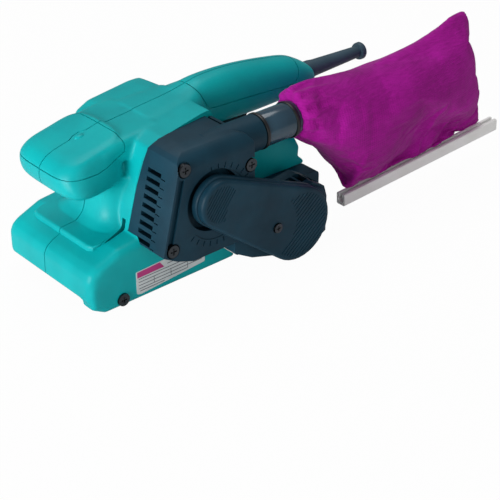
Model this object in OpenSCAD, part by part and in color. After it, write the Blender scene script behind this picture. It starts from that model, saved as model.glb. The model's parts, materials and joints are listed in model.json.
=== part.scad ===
// Handheld belt sander for a 76 x 457 mm belt, with its dust bag on the nozzle.
// The origin lies on the sanding face, midway between the rollers. The nose is at -X, up is +Z,
// the drive side is -Y, and the belt slides off to +Y.

/* [Sanding belt] */
// Width of the sanding belt
belt_w = 76; // [60:1:80]
// Thickness of the sanding belt
belt_t = 1; // [0.8:0.1:1.2]
// Distance between the two roller axes
centres = 148; // [144:1:152]
// Radius of the front roller
front_r = 16; // [14:0.5:17]
// Radius of the rear drive roller over its rubber
rear_r = 31.5; // [30:0.5:32]
// Thickness of the rubber on the drive roller
sleeve_t = 3; // [2:0.5:5]
// How far the front roller draws back to free the belt
release = 6; // [3:0.5:8]

/* [Motor] */
// Place of the motor axis along the machine
motor_x = -3; // [-6:1:0]
// Height of the motor axis
motor_z = 77.7; // [76:0.1:80]
// Outer radius of the stator
stator_r = 28; // [25:0.5:29]
// Length of the stator along its axis
stator_len = 40; // [30:1:42]
// Radius of the armature core
core_r = 14.5; // [12:0.5:15]
// Radius of the armature shaft
shaft_r = 4; // [3:0.5:4]

/* [Belt drive] */
// Tooth pitch of the timing belt
tooth_pitch = 3; // [2.5:0.1:3]
// Teeth on the motor pulley
motor_teeth = 12; // [11:1:14]
// Teeth on the roller pulley
roller_teeth = 40; // [36:1:41]
// Width of the timing belt
timing_w = 5.5; // [4:0.5:6]

/* [Housing] */
// Half width of the housing on the open side
open_side = 50; // [46:1:54]
// Distance from the middle to the outer face of the near cheek
cheek_y = 58; // [56:1:60]
// Wall of the housing shells
wall = 3; // [2.5:0.5:3.5]
// Gap of the parting line between the two shells
seam = 0.2; // [0.1:0.05:0.4]
// Width of the grip of the rear handle
grip_w = 33; // [30:1:38]
// Depth of the styling grooves
groove = 0.7; // [0.4:0.1:1]

/* [Fan housing] */
// Distance from the middle to the inner face of the fan housing
fan_in = 48; // [47:1:49]
// Distance from the middle to the outer face of the fan housing
fan_out = 85; // [84:1:87]
// Number of exhaust slots in its front
slot_count = 9; // [5:1:9]
// Height of one exhaust slot
slot_h = 3.3; // [2:0.1:4]
// Length of one exhaust slot
slot_len = 15.5; // [10:0.5:18]

/* [Belt cover] */
// Distance from the middle to the outer face of the belt cover
cover_out = 95; // [95:0.5:98]
// Radius of the small end of the belt cover
cover_small = 18.5; // [16:0.5:20]
// Radius of the big end of the belt cover
cover_big = 30.5; // [27:0.5:31]

/* [Dust outlet and bag] */
// Distance from the middle to the axis of the dust outlet
outlet_y = 66; // [65:0.5:68]
// Height of the axis of the dust outlet
outlet_z = 107; // [105:0.5:107]
// Inner radius of the outlet tube
outlet_bore = 12; // [10:0.5:12.5]
// Where the outlet tube ends
outlet_end = 61.5; // [55:0.5:66]
// Length of the cuff outside the outlet tube
cuff_len = 25; // [18:1:30]
// Thickness of the full bag
bag_t = 42; // [30:1:50]
// Length of the bag rail
rail_len = 185; // [150:1:200]
// Width of the bag rail
rail_w = 9; // [8:0.5:11]

/* [Cord guard] */
// Radius of the cord that the guard holds
cord_r = 3.3; // [2.5:0.1:3.5]
// Length of the guard outside the handle
guard_len = 61; // [40:1:80]

/* [Fits] */
// Gap between the sanding belt and the rollers
loose = 0.45; // [0.4:0.05:0.6]
// Radial clearance of a shaft that turns in a bore
run = 0.05; // [0.02:0.01:0.1]
// Gap between pieces of different bodies that don't touch
clear = 0.35; // [0.3:0.05:0.5]
// Gap under a piece that slides on a flat guide
slide_gap = 0.1; // [0.05:0.05:0.2]

/* [Hidden] */
$fn = 48;

front = [-centres / 2, front_r + loose + belt_t];
rear = [centres / 2, rear_r + loose + belt_t];
motor = [motor_x, motor_z];
roller_w = belt_w - 2;
side_in = belt_w / 2 + 2.5;
rear_wall = side_in + 2;
belt_tilt = atan2(rear.y - front.y, centres) + asin((rear_r - front_r) / norm(rear - front));
motor_pr = motor_teeth * tooth_pitch / 2 / PI;
roller_pr = roller_teeth * tooth_pitch / 2 / PI;
frame_out = fan_out - 0.2;
big_end = rear + [0, -1];
outlet_tube = outlet_bore + 2;
cuff_r = outlet_bore + 1;
stub_r = outlet_bore;
cuff_end = outlet_end + cuff_len;
stator_y = [-26, -26 + stator_len];
commutator_y = [stator_y[1] + 11, stator_y[1] + 23];
brush_y = (commutator_y[0] + commutator_y[1]) / 2;
drive_bearing_y = -fan_out + wall;
end_bearing_y = open_side - 12;
seat_flat = 21.5;
bearing_w = 7;
axle_r = 4;
yoke_pivot = [front.x + 34, 0];
lever_pivot = [-12, 26];
shoe_top = belt_t + 7.8;
eccentric = 0.33;
trigger_pivot = [70, 100];
lock_at = [96, 107];
rail_from = [cuff_end + 59, 15.5];
rail_tilt = 2.8;
guard_z = 101.5;
handle_end = 168.5;
screw_marks = [[-28.9, 110.3], [-41.5, 49], [33, 94]];
tracking_at = [front.x + 5.5, 6.5];
cover_screw_at = [50.5, 38.2];
timing_y = -frame_out - 1.6;
// Nut of the roller pulley, and how deep it sits in the hub
nut_r = 4.6;
nut_seat = 1.8;
commutator_r = 11;
cap_x = 37;
shoe_x = [-50, 38];
shoe_screw_x = [-32, 0, 28];
clamp_at = [145.5, 6.4];
frame_screw_at = [[46, 44], [101, 45], [36, 24]];
// Screw bosses: x, z, y of the head's seat, y of the tip
case_screw_at = [[-76, 96, 22, -16], [-27, 108, 40, -20], [-38, 60, 40, -20], [31, 66, 40, -20],
    [31, 106, 40, -20], [60, 118, 12, -9], [122, 114, 12, -9], [133, 96, 11, -9]];

// Points of an arc round c from angle a to angle b
function arc(c, r, a, b, n = 8) =
    [for (i = [0 : n]) c + r * [cos(a + (b - a) * i / n), sin(a + (b - a) * i / n)]];

// Outline of a band that wraps the wheels at a and b
function wrap(a, ra, b, rb, n = 20) =
    let (d = b - a, t = atan2(d.y, d.x), k = acos((ra - rb) / norm(d)))
    concat(arc(a, ra, t + k, t + 360 - k, n), arc(b, rb, t - k, t + k, n));

// Outline of a toothed pulley
function toothed(teeth, r, depth) =
    [for (i = [0 : teeth - 1], s = [0.08, 0.42, 0.58, 0.92])
        (s < 0.5 ? r : r - depth) * [cos(360 * (i + s) / teeth), sin(360 * (i + s) / teeth)]];

// A flat outline in X and Z, pulled from y0 to y1
module side(y0, y1) {
    translate([0, y1, 0])
        rotate([90, 0, 0])
            linear_extrude(y1 - y0)
                children();
}

// A round bar along Y at p, from y0 to y1
module bar(p, r, y0, y1) {
    side(y0, y1)
        translate(p)
            circle(r);
}

// A round bar along X at [y, z]
module rod(p, r, x0, x1) {
    translate([x0, p.x, p.y])
        rotate([0, 90, 0])
            cylinder(r = r, h = x1 - x0);
}

// A convex outline in X and Z, pulled from y0 to y1 with edges of radius r
module pebble(y0, y1, r) {
    hull()
        for (a = [0, 30, 60, 90])
            side(y0 + r * (1 - cos(a)), y1 - r * (1 - cos(a)))
                offset(delta = -r * (1 - sin(a)))
                    children();
}

// A polygon with rounded corners
module soft(points, r) {
    offset(r = r, $fn = 16)
        offset(delta = -r)
            polygon(points);
}

// A thin slice across the machine at x: half width w, from z0 to z1, corner radius r
module slice(x, w, z0, z1, r) {
    translate([x, 0, 0])
        rotate([90, 0, 90])
            linear_extrude(0.02)
                offset(r = r, $fn = 16)
                    translate([-w + r, z0 + r])
                        square([2 * w - 2 * r, z1 - z0 - 2 * r]);
}

// A shell through a row of slices
module loft(rows) {
    for (i = [0 : len(rows) - 2])
        hull() {
            slice(rows[i][0], rows[i][1], rows[i][2], rows[i][3], rows[i][4]);
            slice(rows[i + 1][0], rows[i + 1][1], rows[i + 1][2], rows[i + 1][3], rows[i + 1][4]);
        }
}

// ---------- Housing shells ----------

// Level outline of the front grip: near corner, far corner and the back
module grip_level(z, near, far, x, inset) {
    translate([0, 0, z])
        linear_extrude(0.02)
            offset(delta = -inset)
                hull() {
                    translate([x + 17, -near + 17])
                        circle(17, $fn = 28);
                    translate([x + 17, far - 17])
                        circle(17, $fn = 28);
                    translate([-44, -near + 15])
                        square([2, near + far - 30]);
                }
}

// The front grip, a palm knob that overhangs the nose
module grip(inset = 0) {
    hull() {
        grip_level(84, 33, 31, -88, inset);
        grip_level(86.5, 36.5, 34.5, -92.5, inset);
        grip_level(91, 37.5, 36, -94.5, inset);
        grip_level(101, 33, 34, -94, inset);
        grip_level(106, 30, 32, -91, inset);
        translate([-88, 0, 108 - inset])
            rotate([0, -13.5, 0])
                translate([88, 0, 0])
                    grip_level(0, 24, 28, -84, inset / 2);
    }
}

// Depth band of the groove that parts the cap of the front grip from its base
module grip_groove() {
    difference() {
        side(-cheek_y, open_side)
            polygon([[-100, 100.9], [-68, 100.9], [-54, 104.3], [-43, 109.8], [-41.4, 113], [-41.4, 130],
                [-42.4, 130], [-42.4, 113.4], [-43.7, 110.6], [-54.4, 105.1], [-68.2, 101.7],
                [-100, 101.7]]);
        grip(groove);
    }
}

// The rear handle, a loft that drops towards the cord
module handle(inset = 0) {
    half = grip_w / 2 - inset;
    loft([
        [22, half + 6, 92 + inset, 124.5 - inset, 10],
        [38, half + 3, 91 + inset, 127.8 - inset, 12],
        [52, half + 1, 88.5 + inset, 130.6 - inset, 13],
        [76, half - 0.3, 87 + inset, 130.6 - inset, 14],
        [98, half, 86 + inset, 128.6 - inset, 14],
        [122, half, 86.5 + inset, 125 - inset, 14],
        [143, half - 0.5, 87.5 + inset, 120.6 - inset, 13],
        [156, half - 2, 88 + inset, 114.5 - inset, 11],
        [165, half - 5, 89.5 + inset, 108 - inset, 8.5],
        [handle_end - inset, half - 8, 92 + inset, 104.5 - inset, 5]]);
}

// Groove round the grip panel of the handle
module handle_groove() {
    difference() {
        side(-grip_w, grip_w)
            polygon([[38, 140], [44, 122], [47, 112.5], [53, 108.8], [98, 105.4], [134, 102.8],
                [140, 103.4], [144, 107], [145.6, 111], [147.5, 125], [146.7, 125], [144.8, 111.2],
                [143.4, 107.6], [139.6, 104.2], [134, 103.6], [98, 106.2], [53.3, 109.6],
                [47.7, 113], [44.8, 122.2], [38.8, 140]]);
        handle(groove);
    }
}

// The nose hood with its step, over the front roller
module nose() {
    lip = front - [front_r + loose + belt_t + 4, 5.5];
    pebble(-cheek_y, open_side, 4)
        soft(concat([lip], arc(lip + [15, 16], 15, 180, 100, 6),
            [[-40, 49], [34, 62], [34, lip.y]]), 2);
    pebble(-38, 38, 3)
        soft([[-81, 38], [-81, 45.5], [-67, 52], [-44, 55], [-40, 38]], 2.5);
}

// The near cheek beside the belt
module cheek() {
    pebble(-cheek_y, -side_in + 6, 3)
        soft([[-94, 20], [-91, 8.5], [-79, 2.4], [40, 2.4], [40, 44], [-86, 40], [-93, 32]], 3);
}

// The block round the motor, with the neck of the front grip
module block() {
    pebble(-cheek_y, open_side, 6)
        soft([[-51, 44], [-36, 114], [-30, 119.6], [20, 123], [34, 122], [41, 112], [41, 52], [0, 44]], 5);
    hull() {
        pebble(-24, 22, 9)
            soft([[-62, 46], [-57, 60], [-57, 90], [-30, 92], [-30, 46]], 3);
        pebble(-36, 32, 3)
            soft([[-56, 46], [-49, 78], [-30, 80], [-30, 46]], 2);
    }
    hull() {
        slice(-20, 30, 100, 121, 8);
        slice(40, 22, 100, 127, 9);
    }
}

// The hood over the drive roller, with the duct that leads its dust to the fan
module rear_hood() {
    pebble(-rear_wall, open_side - 6, 3)
        soft(concat(arc(rear, rear_r + loose + belt_t + 4.2, -19, 120, 15), [[36, 66], [36, 40], [60, 20]]), 2);
    pebble(-rear_wall, -22, 2)
        soft([[30, 50], [30, 80], [104, 80], [119, 70], [121.5, 62], [120.2, 54], [126.5, 49.4], [126, 45],
            [60, 45]], 1.5);
}

// Room for the belt loop, open towards +Y
module belt_room() {
    side(-side_in, open_side + 20)
        polygon(wrap(front, front_r + loose + belt_t + 1.3, rear, rear_r + loose + belt_t + 1.5));
    side(-side_in, open_side + 20)
        polygon([[-130, -20], [-130, front.y - 5.5], [front.x, front.y], rear, [118, -20]]);
}

// Outline of the stator: a round core with flats beside the belt
module stator_outline(grow = 0) {
    translate(motor)
        rotate(belt_tilt)
            intersection() {
                circle(stator_r + grow, $fn = 48);
                square([4 * stator_r, 2 * (seat_flat + grow)], center = true);
            }
}

// Room inside the shells for the motor, its brushes, the switch, the trigger and the cord
module rooms() {
    side(-fan_in - 20, end_bearing_y + 6)
        stator_outline(0.1);
    for (s = [-1, 1])
        translate([motor_x, brush_y, motor_z])
            rotate([0, s * 90, 0])
                rotate(5)
                    cylinder(r = 8.1, h = 60);
    translate([66, -10.2, 95])
        cube([48, 20.4, 22]);
    translate([trigger_pivot.x - 6, -6.4, 78])
        cube([38, 12.8, 30]);
    bar(trigger_pivot, 2.05, -12, 12);
    bar(lock_at, 5.3, 8, 30);
    rod([0, guard_z], 10.5, clamp_at.x - 5.5, clamp_at.x + 5.5);
    rod([0, guard_z], 9.1, 140, 160.1);
    rod([0, guard_z], 7.7, 150, 180);
    for (y = [-clamp_at.y, clamp_at.y])
        translate([clamp_at.x, y, guard_z - 9.8])
            cylinder(r = 1.5, h = 5);
}

module case_screw_holes() {
    for (s = case_screw_at) {
        bar([s[0], s[1]], 2.15, s[3] - 1, s[2] + 1);
        bar([s[0], s[1]], 4, s[2], open_side + 5);
    }
}

// The closed housing before it is parted
module housing() {
    $fn = 24;
    difference() {
        union() {
            nose();
            cheek();
            block();
            grip();
            handle();
            rear_hood();
        }
        belt_room();
        rooms();
        grip_groove();
        handle_groove();
        case_screw_holes();
        fan_envelope(0.1);
        frame_envelope(0.1);
        tracking_hole();
        intake_slots();
        outlet_room();
        bar(rear, 6, -rear_wall - 1, -side_in + 1);
        for (x = shoe_screw_x)
            bar([x, 15], 1.7, -side_in - 3.2, -side_in + 1);
        for (s = screw_marks)
            bar(s, 2.1, -fan_in - 1, -fan_in + 12.5);
        for (s = frame_screw_at)
            bar(s, 1.7, -rear_wall - 1, -rear_wall + 1.5);
    }
}

// Slots in the open side that let cooling air in
module intake_slots() {
    for (i = [-3 : 3])
        translate([motor_x + i * 6, end_bearing_y + 5, motor_z])
            for (z = [13, -20])
                translate([-1.4, 0, z])
                    cube([2.8, 20, 8]);
}

// Room round the outlet tube beside the block
module outlet_room() {
    rod([-outlet_y, outlet_z], outlet_tube + 1, -40, 90);
}

module tracking_hole() {
    bar(tracking_at, 3.1, -cheek_y - 1, -side_in + 1);
    bar(tracking_at, 5.4, -cheek_y - 1, -cheek_y + 1.5);
}

module housing_left() {
    color("#1fb5b5")
        difference() {
            housing();
            translate([-200, -seam / 2, -20])
                cube([500, 200, 200]);
        }
}

module housing_right() {
    color("#1fb5b5") {
        difference() {
            housing();
            translate([-200, -200 + seam / 2, -20])
                cube([500, 200, 200]);
        }
        difference() {
            bar(motor, 12.5, end_bearing_y - 1, open_side - 5);
            bar(motor, 9.6, end_bearing_y - 2, end_bearing_y + 6);
        }
    }
}

// ---------- Fan housing ----------

// Side outline of the fan housing: its front leans forward towards the nose
function fan_outline() = [[-50.5, 46.5], [-33.5, 121.5], [25, 120.5], [34, 116], [37, 108], [37, 34.5],
    [-25, 34.5], [-38, 39]];

module fan_envelope(grow) {
    side(-fan_out, -fan_in + grow)
        offset(delta = grow)
            soft(fan_outline(), 4);
}

module exhaust_slots() {
    lean = atan2(17, 75);
    for (i = [0 : slot_count - 1])
        translate([-43.5, -60.2, 75.5])
            rotate([0, lean, 0])
                translate([0, 0, (i - (slot_count - 1) / 2) * 6.75])
                    cube([18, slot_len, slot_h], center = true);
}

// Radial vents and their inner ring, moulded round the small end of the cover
module tick_ring() {
    centre = motor + [3.5, -5];
    for (a = [-140 : 12 : 100])
        translate([centre.x, -fan_out, centre.y])
            rotate([0, -a, 0])
                translate([31, 0, 0])
                    cube([4, 1.2, 1], center = true);
    difference() {
        bar(centre, 27, -fan_out - 1, -fan_out + 0.6);
        bar(centre, 26.3, -fan_out - 2, -fan_out + 1);
    }
}

module fan_housing() {
    color("#1e3a4a")
        difference() {
            union() {
                difference() {
                    pebble(-fan_out, -fan_in, 4)
                        soft(fan_outline(), 4);
                    side(-fan_out + wall, -fan_in + 5)
                        offset(delta = -wall)
                            soft(fan_outline(), 4);
                }
                bar(motor, 13.5, -fan_out + 1, drive_bearing_y + bearing_w + 1);
                difference() {
                    bar(motor, 33, -fan_out + 1, -fan_in - 8);
                    bar(motor, 31, -fan_out + wall, -fan_in);
                }
                intersection() {
                    for (s = screw_marks)
                        bar(s, 6, -fan_out + 2, -fan_in);
                    side(-fan_out, -fan_in)
                        offset(delta = -1)
                            soft(fan_outline(), 4);
                }
                difference() {
                    rod([-outlet_y, outlet_z], outlet_tube, motor_x, outlet_end);
                    bar(motor, 31, -fan_out + wall, -fan_in);
                    bar(motor, 33 + slide_gap, -fan_in - 8, -fan_in);
                }
            }
            bar(motor, 11, drive_bearing_y, -fan_in);
            bar(motor, shaft_r + 1.5, -fan_out - 1, -fan_in);
            rod([-outlet_y, outlet_z], outlet_bore, motor_x + 2.5, outlet_end + 1);
            exhaust_slots();
            tick_ring();
            for (s = screw_marks) {
                bar(s, 2.1, -fan_out - 1, -fan_in + 1);
                bar(s, 5.2, -fan_out - 1, -fan_out + 2.5);
            }
        }
}

// Plate that parts the cooling air from the dust air
module fan_baffle() {
    color("#2b2f33")
        difference() {
            bar(motor, 33, -fan_in - 8, -fan_in - 6);
            bar(motor, 12, -fan_in - 9, -fan_in - 5);
        }
}

// ---------- Drive frame and belt cover ----------

// Outline of the inner part of the frame, which ends behind the drive roller
module frame_inner_outline() {
    soft(concat([[22, 33.8], [37.4, 33.8], [37.4, 49.4], [126, 47.6]], arc([98, 30], 28, -5, -68, 8), [[74, 2.2], [40, 2.2], [22, 20]]), 4);
}

// Outline of its outer part, which stands behind the cover
module frame_outer_outline() {
    soft(concat([[17, 33.8], [37.4, 33.8], [37.4, 50], [96, 57], [108, 50], [111, 40], [111, 14]],
        arc(big_end, cover_big, -40, -125, 8), [[34, 14], [17, 24]]), 2);
}

module frame_envelope(grow) {
    side(-frame_out, -rear_wall - 0.2 + grow)
        offset(delta = grow)
            frame_inner_outline();
    side(-frame_out, -cheek_y + 6)
        offset(delta = grow)
            frame_outer_outline();
}

module drive_frame() {
    pocket_y = -frame_out + 7;
    color("#1b3340")
        difference() {
            union() {
                difference() {
                    side(-cheek_y - 2, -rear_wall - 0.2)
                        frame_inner_outline();
                    side(-cheek_y + 3, -rear_wall - 3.2)
                        offset(delta = -3.5)
                            frame_inner_outline();
                }
                difference() {
                    side(-frame_out, -cheek_y + 1)
                        frame_outer_outline();
                    side(-frame_out + 3, -cheek_y - 4)
                        offset(delta = -3)
                            frame_outer_outline();
                }
                bar(rear, 14, -frame_out, -rear_wall - 0.2);
                bar(cover_screw_at, 3.4, -cover_out + 2.2, -frame_out + 4);
            }
            bar(rear, 11, -frame_out - 1, -frame_out + bearing_w);
            bar(rear, 11, -rear_wall - bearing_w - 3, -rear_wall + 1);
            bar(rear, 6, -frame_out - 1, -rear_wall + 1);
            bar(cover_screw_at, 1.6, -cover_out, -frame_out + 3);
            for (i = [0 : 3])
                translate([72 + i * 9.5, pocket_y, 44])
                    cube([7.5, 12, 30]);
            for (s = frame_screw_at)
                bar(s, 1.7, -cheek_y - 5, -rear_wall + 1);
            for (x = shoe_screw_x)
                bar([x, 15], 2.2, -rear_wall - 4, -rear_wall + 1);
        }
}

// Bevelled cover over the two pulleys, with a stepped rim and ribbed ends
module belt_cover() {
    color("#1e3a4a")
        difference() {
            union() {
                pebble(-cover_out, -frame_out - 0.2 + 2.5, 2.5)
                    polygon(wrap(motor, cover_small, big_end, cover_big, 16));
                side(-frame_out - 4, -frame_out - 0.2)
                    polygon(wrap(motor, cover_small + 1.5, big_end, cover_big + 0.3, 16));
                side(-frame_out - 4, -frame_out - 0.2)
                    soft([[70, 20], [70, 58], [92, 57], [104, 50], [107.5, 42], [107.5, 12], [100, 8]], 2);
                side(-cover_out - 0.5, -cover_out + 1)
                    cover_ribs();
            }
            side(-cover_out + 1.6, 0)
                polygon(wrap(motor, cover_small - 1.8, big_end, cover_big - 1.8, 16));
            side(-frame_out - 0.2, 0)
                square([400, 400], center = true);
            bar(cover_screw_at, 1.9, -cover_out - 1, 0);
            bar(cover_screw_at, 4, -cover_out - 1, -cover_out + 0.8);
        }
}

// Fine slanting ribs on the face of the cover, kept inside an arc at each end
module cover_ribs() {
    slant = 45;
    intersection() {
        union() {
            for (i = [-6 : 6])
                translate(motor)
                    rotate(slant)
                        translate([-15, i * 2.4])
                            square([30, 1]);
        }
        difference() {
            translate(motor)
                circle(cover_small - 3.4);
            translate(motor + [34, -18])
                circle(32);
        }
    }
    intersection() {
        union() {
            for (i = [-8 : 8])
                translate(big_end)
                    rotate(slant - 10)
                        translate([-30, i * 3.1])
                            square([60, 1]);
        }
        difference() {
            translate(big_end)
                circle(cover_big - 3.6);
            translate(big_end + [-31, 7])
                circle(27);
        }
    }
}

module rating_label() {
    color("#dfe3e4")
        side(-cheek_y - 0.4, -cheek_y)
            soft([[-56, 5.5], [-56, 24.5], [-30, 25.5], [9, 25.5], [9, 9], [-52, 4.6]], 1);
}

// ---------- Sole ----------

module shoe() {
    floor_z = shoe_top - 4;
    flange_x = -40;
    color("#b8bcbf")
        difference() {
            union() {
                translate([shoe_x[0], -belt_w / 2 + 1, floor_z])
                    cube([shoe_x[1] - shoe_x[0], belt_w - 2, 4]);
                translate([flange_x, -side_in, floor_z])
                    cube([shoe_x[1] - flange_x, 4, 18]);
                for (p = [[-6, -26], [4, 8]])
                    translate([p.x, p.y, floor_z])
                        cube([shoe_x[1] - p.x, 4, 12]);
                for (y = [-15 - slide_gap, 12 + slide_gap])
                    translate([yoke_pivot.x - 6, y, floor_z])
                        cube([30 + release, 3, 4 + 3]);
                translate([lever_pivot.x, lever_pivot.y, floor_z])
                    cylinder(r = 5.5, h = 5.2);
                translate([-10, -6.5, floor_z])
                    cube([4, 13, 14]);
            }
            for (x = shoe_screw_x)
                bar([x, 15], 1.7, -side_in - 1, -side_in + 5);
            translate([lever_pivot.x, lever_pivot.y, 0])
                cylinder(r = 2.5, h = 30);
        }
}

module cork_pad() {
    color("#8a6a45")
        translate([shoe_x[0] - 2, -belt_w / 2 + 1, belt_t + 0.8])
            cube([shoe_x[1] - shoe_x[0] + 4, belt_w - 2, 3]);
}

module sole_plate() {
    color("#c4c7c9")
        difference() {
            translate([shoe_x[0] - 4, -belt_w / 2 + 1, belt_t])
                cube([shoe_x[1] - shoe_x[0] + 8, belt_w - 2, 3.8]);
            translate([shoe_x[0] - 2, -belt_w / 2, belt_t + 0.8])
                cube([shoe_x[1] - shoe_x[0] + 4, belt_w, 4]);
        }
}

module sanding_belt() {
    color("#5a2a3a")
        side(-belt_w / 2, belt_w / 2)
            difference() {
                polygon(wrap(front, front_r + loose + belt_t, rear, rear_r + loose + belt_t, 32));
                polygon(wrap(front, front_r + loose, rear, rear_r + loose, 32));
            }
}

// ---------- Belt drive ----------

module timing_belt() {
    color("#222222")
        side(timing_y - timing_w, timing_y)
            difference() {
                polygon(wrap(motor, motor_pr + clear + 1.4, rear, roller_pr + clear + 1.4, 28));
                polygon(wrap(motor, motor_pr + clear, rear, roller_pr + clear, 28));
            }
}

module pulley(p, teeth, r, bore, hub) {
    difference() {
        side(timing_y - timing_w, timing_y)
            translate(p)
                polygon(toothed(teeth, r, 1));
        bar(p, bore, timing_y - 10, timing_y + 5);
        if (hub > 0)
            difference() {
                bar(p, r - 4, timing_y - 10, timing_y - timing_w + 2);
                bar(p, hub, timing_y - 11, timing_y);
            }
    }
}

module motor_pulley() {
    color("#8a8d90")
        pulley(motor, motor_teeth, motor_pr, 2.5, 0);
}

module roller_pulley() {
    color("#8a8d90")
        difference() {
            pulley(rear, roller_teeth, roller_pr, 3, 7);
            bar(rear, nut_r + clear, timing_y - timing_w - 1, timing_y - timing_w + nut_seat);
        }
}

module pulley_nut() {
    color("#b0b3b6")
        difference() {
            bar(rear, nut_r, timing_y - timing_w - 0.4, timing_y - timing_w + nut_seat, $fn = 6);
            bar(rear, 3.1, timing_y - 12, timing_y);
        }
}

// ---------- Motor ----------

module stator_core() {
    color("#7d8185")
        difference() {
            side(stator_y[0], stator_y[1])
                stator_outline(0);
            bar(motor, core_r + 0.6, stator_y[0] - 1, stator_y[1] + 1);
        }
}

// Field coils: their ends stand out on both sides of the core
module field_coils() {
    color("#b4652a")
        for (y = [stator_y[0] - 8, stator_y[1]])
            difference() {
                bar(motor, seat_flat - 0.5, y, y + 8);
                bar(motor, core_r + 0.8, y - 1, y + 9);
            }
}

module brush_pair(x0, x1) {
    for (s = [-1, 1])
        translate([motor_x, brush_y, motor_z])
            rotate([0, s > 0 ? 0 : 180, 0])
                translate([x0, 0, 0])
                    rotate([0, 90, 0])
                        linear_extrude(x1 - x0)
                            children();
}

module brush_holders() {
    color("#c9a227")
        brush_pair(commutator_r + 3, cap_x)
            difference() {
                circle(8);
                square([6.3, 8.3], center = true);
            }
}

module carbon_brushes() {
    color("#303030")
        brush_pair(commutator_r + clear, commutator_r + 14)
            square([6, 8], center = true);
}

module brush_caps() {
    color("#1d1d1f")
        difference() {
            brush_pair(cap_x, cap_x + 3.5)
                circle(8);
            brush_pair(cap_x + 2, cap_x + 4)
                square([1.6, 12], center = true);
        }
}

module ball_bearing(p, y, bore, out, w) {
    difference() {
        bar(p, out, y, y + w);
        bar(p, bore, y - 1, y + w + 1);
        for (e = [y - 1, y + w - 0.5])
            difference() {
                bar(p, out * 0.82, e, e + 1.5);
                bar(p, (bore + out) / 2 - out * 0.14, e - 1, e + 3);
            }
    }
}

module bearing_brush_end() {
    color("#a9adb0")
        ball_bearing(motor, end_bearing_y, 3 + run, 9.5, 6);
}

module bearing_drive_end() {
    color("#a9adb0")
        ball_bearing(motor, drive_bearing_y, shaft_r + run, 11, bearing_w);
}

module roller_bearings() {
    color("#a9adb0") {
        ball_bearing(rear, -frame_out, 4 + run, 11, bearing_w);
        ball_bearing(rear, -rear_wall - bearing_w - 3, 4 + run, 11, bearing_w);
    }
}

module armature_shaft() {
    color("#9da1a5") {
        bar(motor, shaft_r, -fan_out - 1, end_bearing_y - 0.5);
        bar(motor, 2.5, timing_y - timing_w, -fan_out);
        bar(motor, 3, end_bearing_y - 1, end_bearing_y + 5.5);
    }
}

module armature_core() {
    color("#6f7377")
        side(stator_y[0], stator_y[1])
            difference() {
                translate(motor)
                    circle(core_r);
                for (a = [0 : 30 : 330])
                    translate(motor)
                        rotate(a)
                            translate([core_r - 2.5, -0.8])
                                square([4, 1.6]);
                translate(motor)
                    circle(shaft_r);
            }
}

module armature_windings() {
    color("#b4652a")
        for (y = [stator_y[0] - 6, stator_y[1]])
            difference() {
                bar(motor, core_r - 1.5, y, y + 6);
                bar(motor, shaft_r, y - 1, y + 7);
            }
}

module commutator() {
    color("#c27a45")
        side(commutator_y[0], commutator_y[1])
            difference() {
                translate(motor)
                    circle(commutator_r);
                for (a = [0 : 15 : 345])
                    translate(motor)
                        rotate(a)
                            translate([commutator_r - 1, -0.3])
                                square([2, 0.6]);
                translate(motor)
                    circle(shaft_r);
            }
}

// A radial fan: back disc, hub and curved blades
module impeller(y, r, w, blades, hub_r) {
    difference() {
        union() {
            bar(motor, r, y, y + 1.6);
            bar(motor, hub_r, y, y + w);
            for (a = [0 : 360 / blades : 359])
                translate([motor_x, y + w, motor_z])
                    rotate([90, 0, 0])
                        rotate(a)
                            linear_extrude(w - 0.8)
                                intersection() {
                                    difference() {
                                        translate([0, r * 0.75])
                                            circle(r * 0.72);
                                        translate([0, r * 0.75])
                                            circle(r * 0.72 - 1.4);
                                    }
                                    translate([hub_r - 0.5, -r])
                                        square([r, 2 * r]);
                                    circle(r - 0.4);
                                }
        }
        bar(motor, shaft_r, y - 1, y + w + 1);
    }
}

module cooling_fan() {
    color("#d8d2c0")
        impeller(-fan_in + 1, 20.5, 8, 9, 8);
}

module dust_fan() {
    color("#3a3f44")
        impeller(-fan_in - 24, 28.5, 14, 9, 9);
}

// ---------- Rollers ----------

module drive_shaft() {
    color("#9da1a5") {
        bar(rear, 4, -frame_out - 0.8, roller_w / 2 - 4);
        bar(rear, 3, timing_y - timing_w + 0.2, -frame_out);
    }
}

module drive_roller() {
    drum = rear_r - sleeve_t;
    color("#aeb2b5")
        difference() {
            bar(rear, drum, -roller_w / 2, roller_w / 2);
            for (e = [-roller_w / 2 - 1, roller_w / 2 - 12])
                difference() {
                    bar(rear, drum - 4, e, e + 13);
                    bar(rear, 10, e - 1, e + 14);
                }
            bar(rear, 4, -roller_w, roller_w);
        }
}

module roller_sleeve() {
    color("#26282a")
        difference() {
            bar(rear, rear_r, -roller_w / 2, roller_w / 2);
            bar(rear, rear_r - sleeve_t, -roller_w, roller_w);
        }
}

module front_roller() {
    color("#b9bdc0")
        difference() {
            bar(front, front_r, -roller_w / 2, roller_w / 2);
            bar(front, axle_r + run, -roller_w, roller_w);
            for (e = [-roller_w / 2 - 1, roller_w / 2 - 5])
                difference() {
                    bar(front, front_r - 3, e, e + 6);
                    bar(front, axle_r + 3, e - 1, e + 7);
                }
        }
}

module front_axle() {
    color("#9da1a5")
        bar(front, axle_r, -side_in + 0.7, side_in - 0.7);
}

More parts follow.
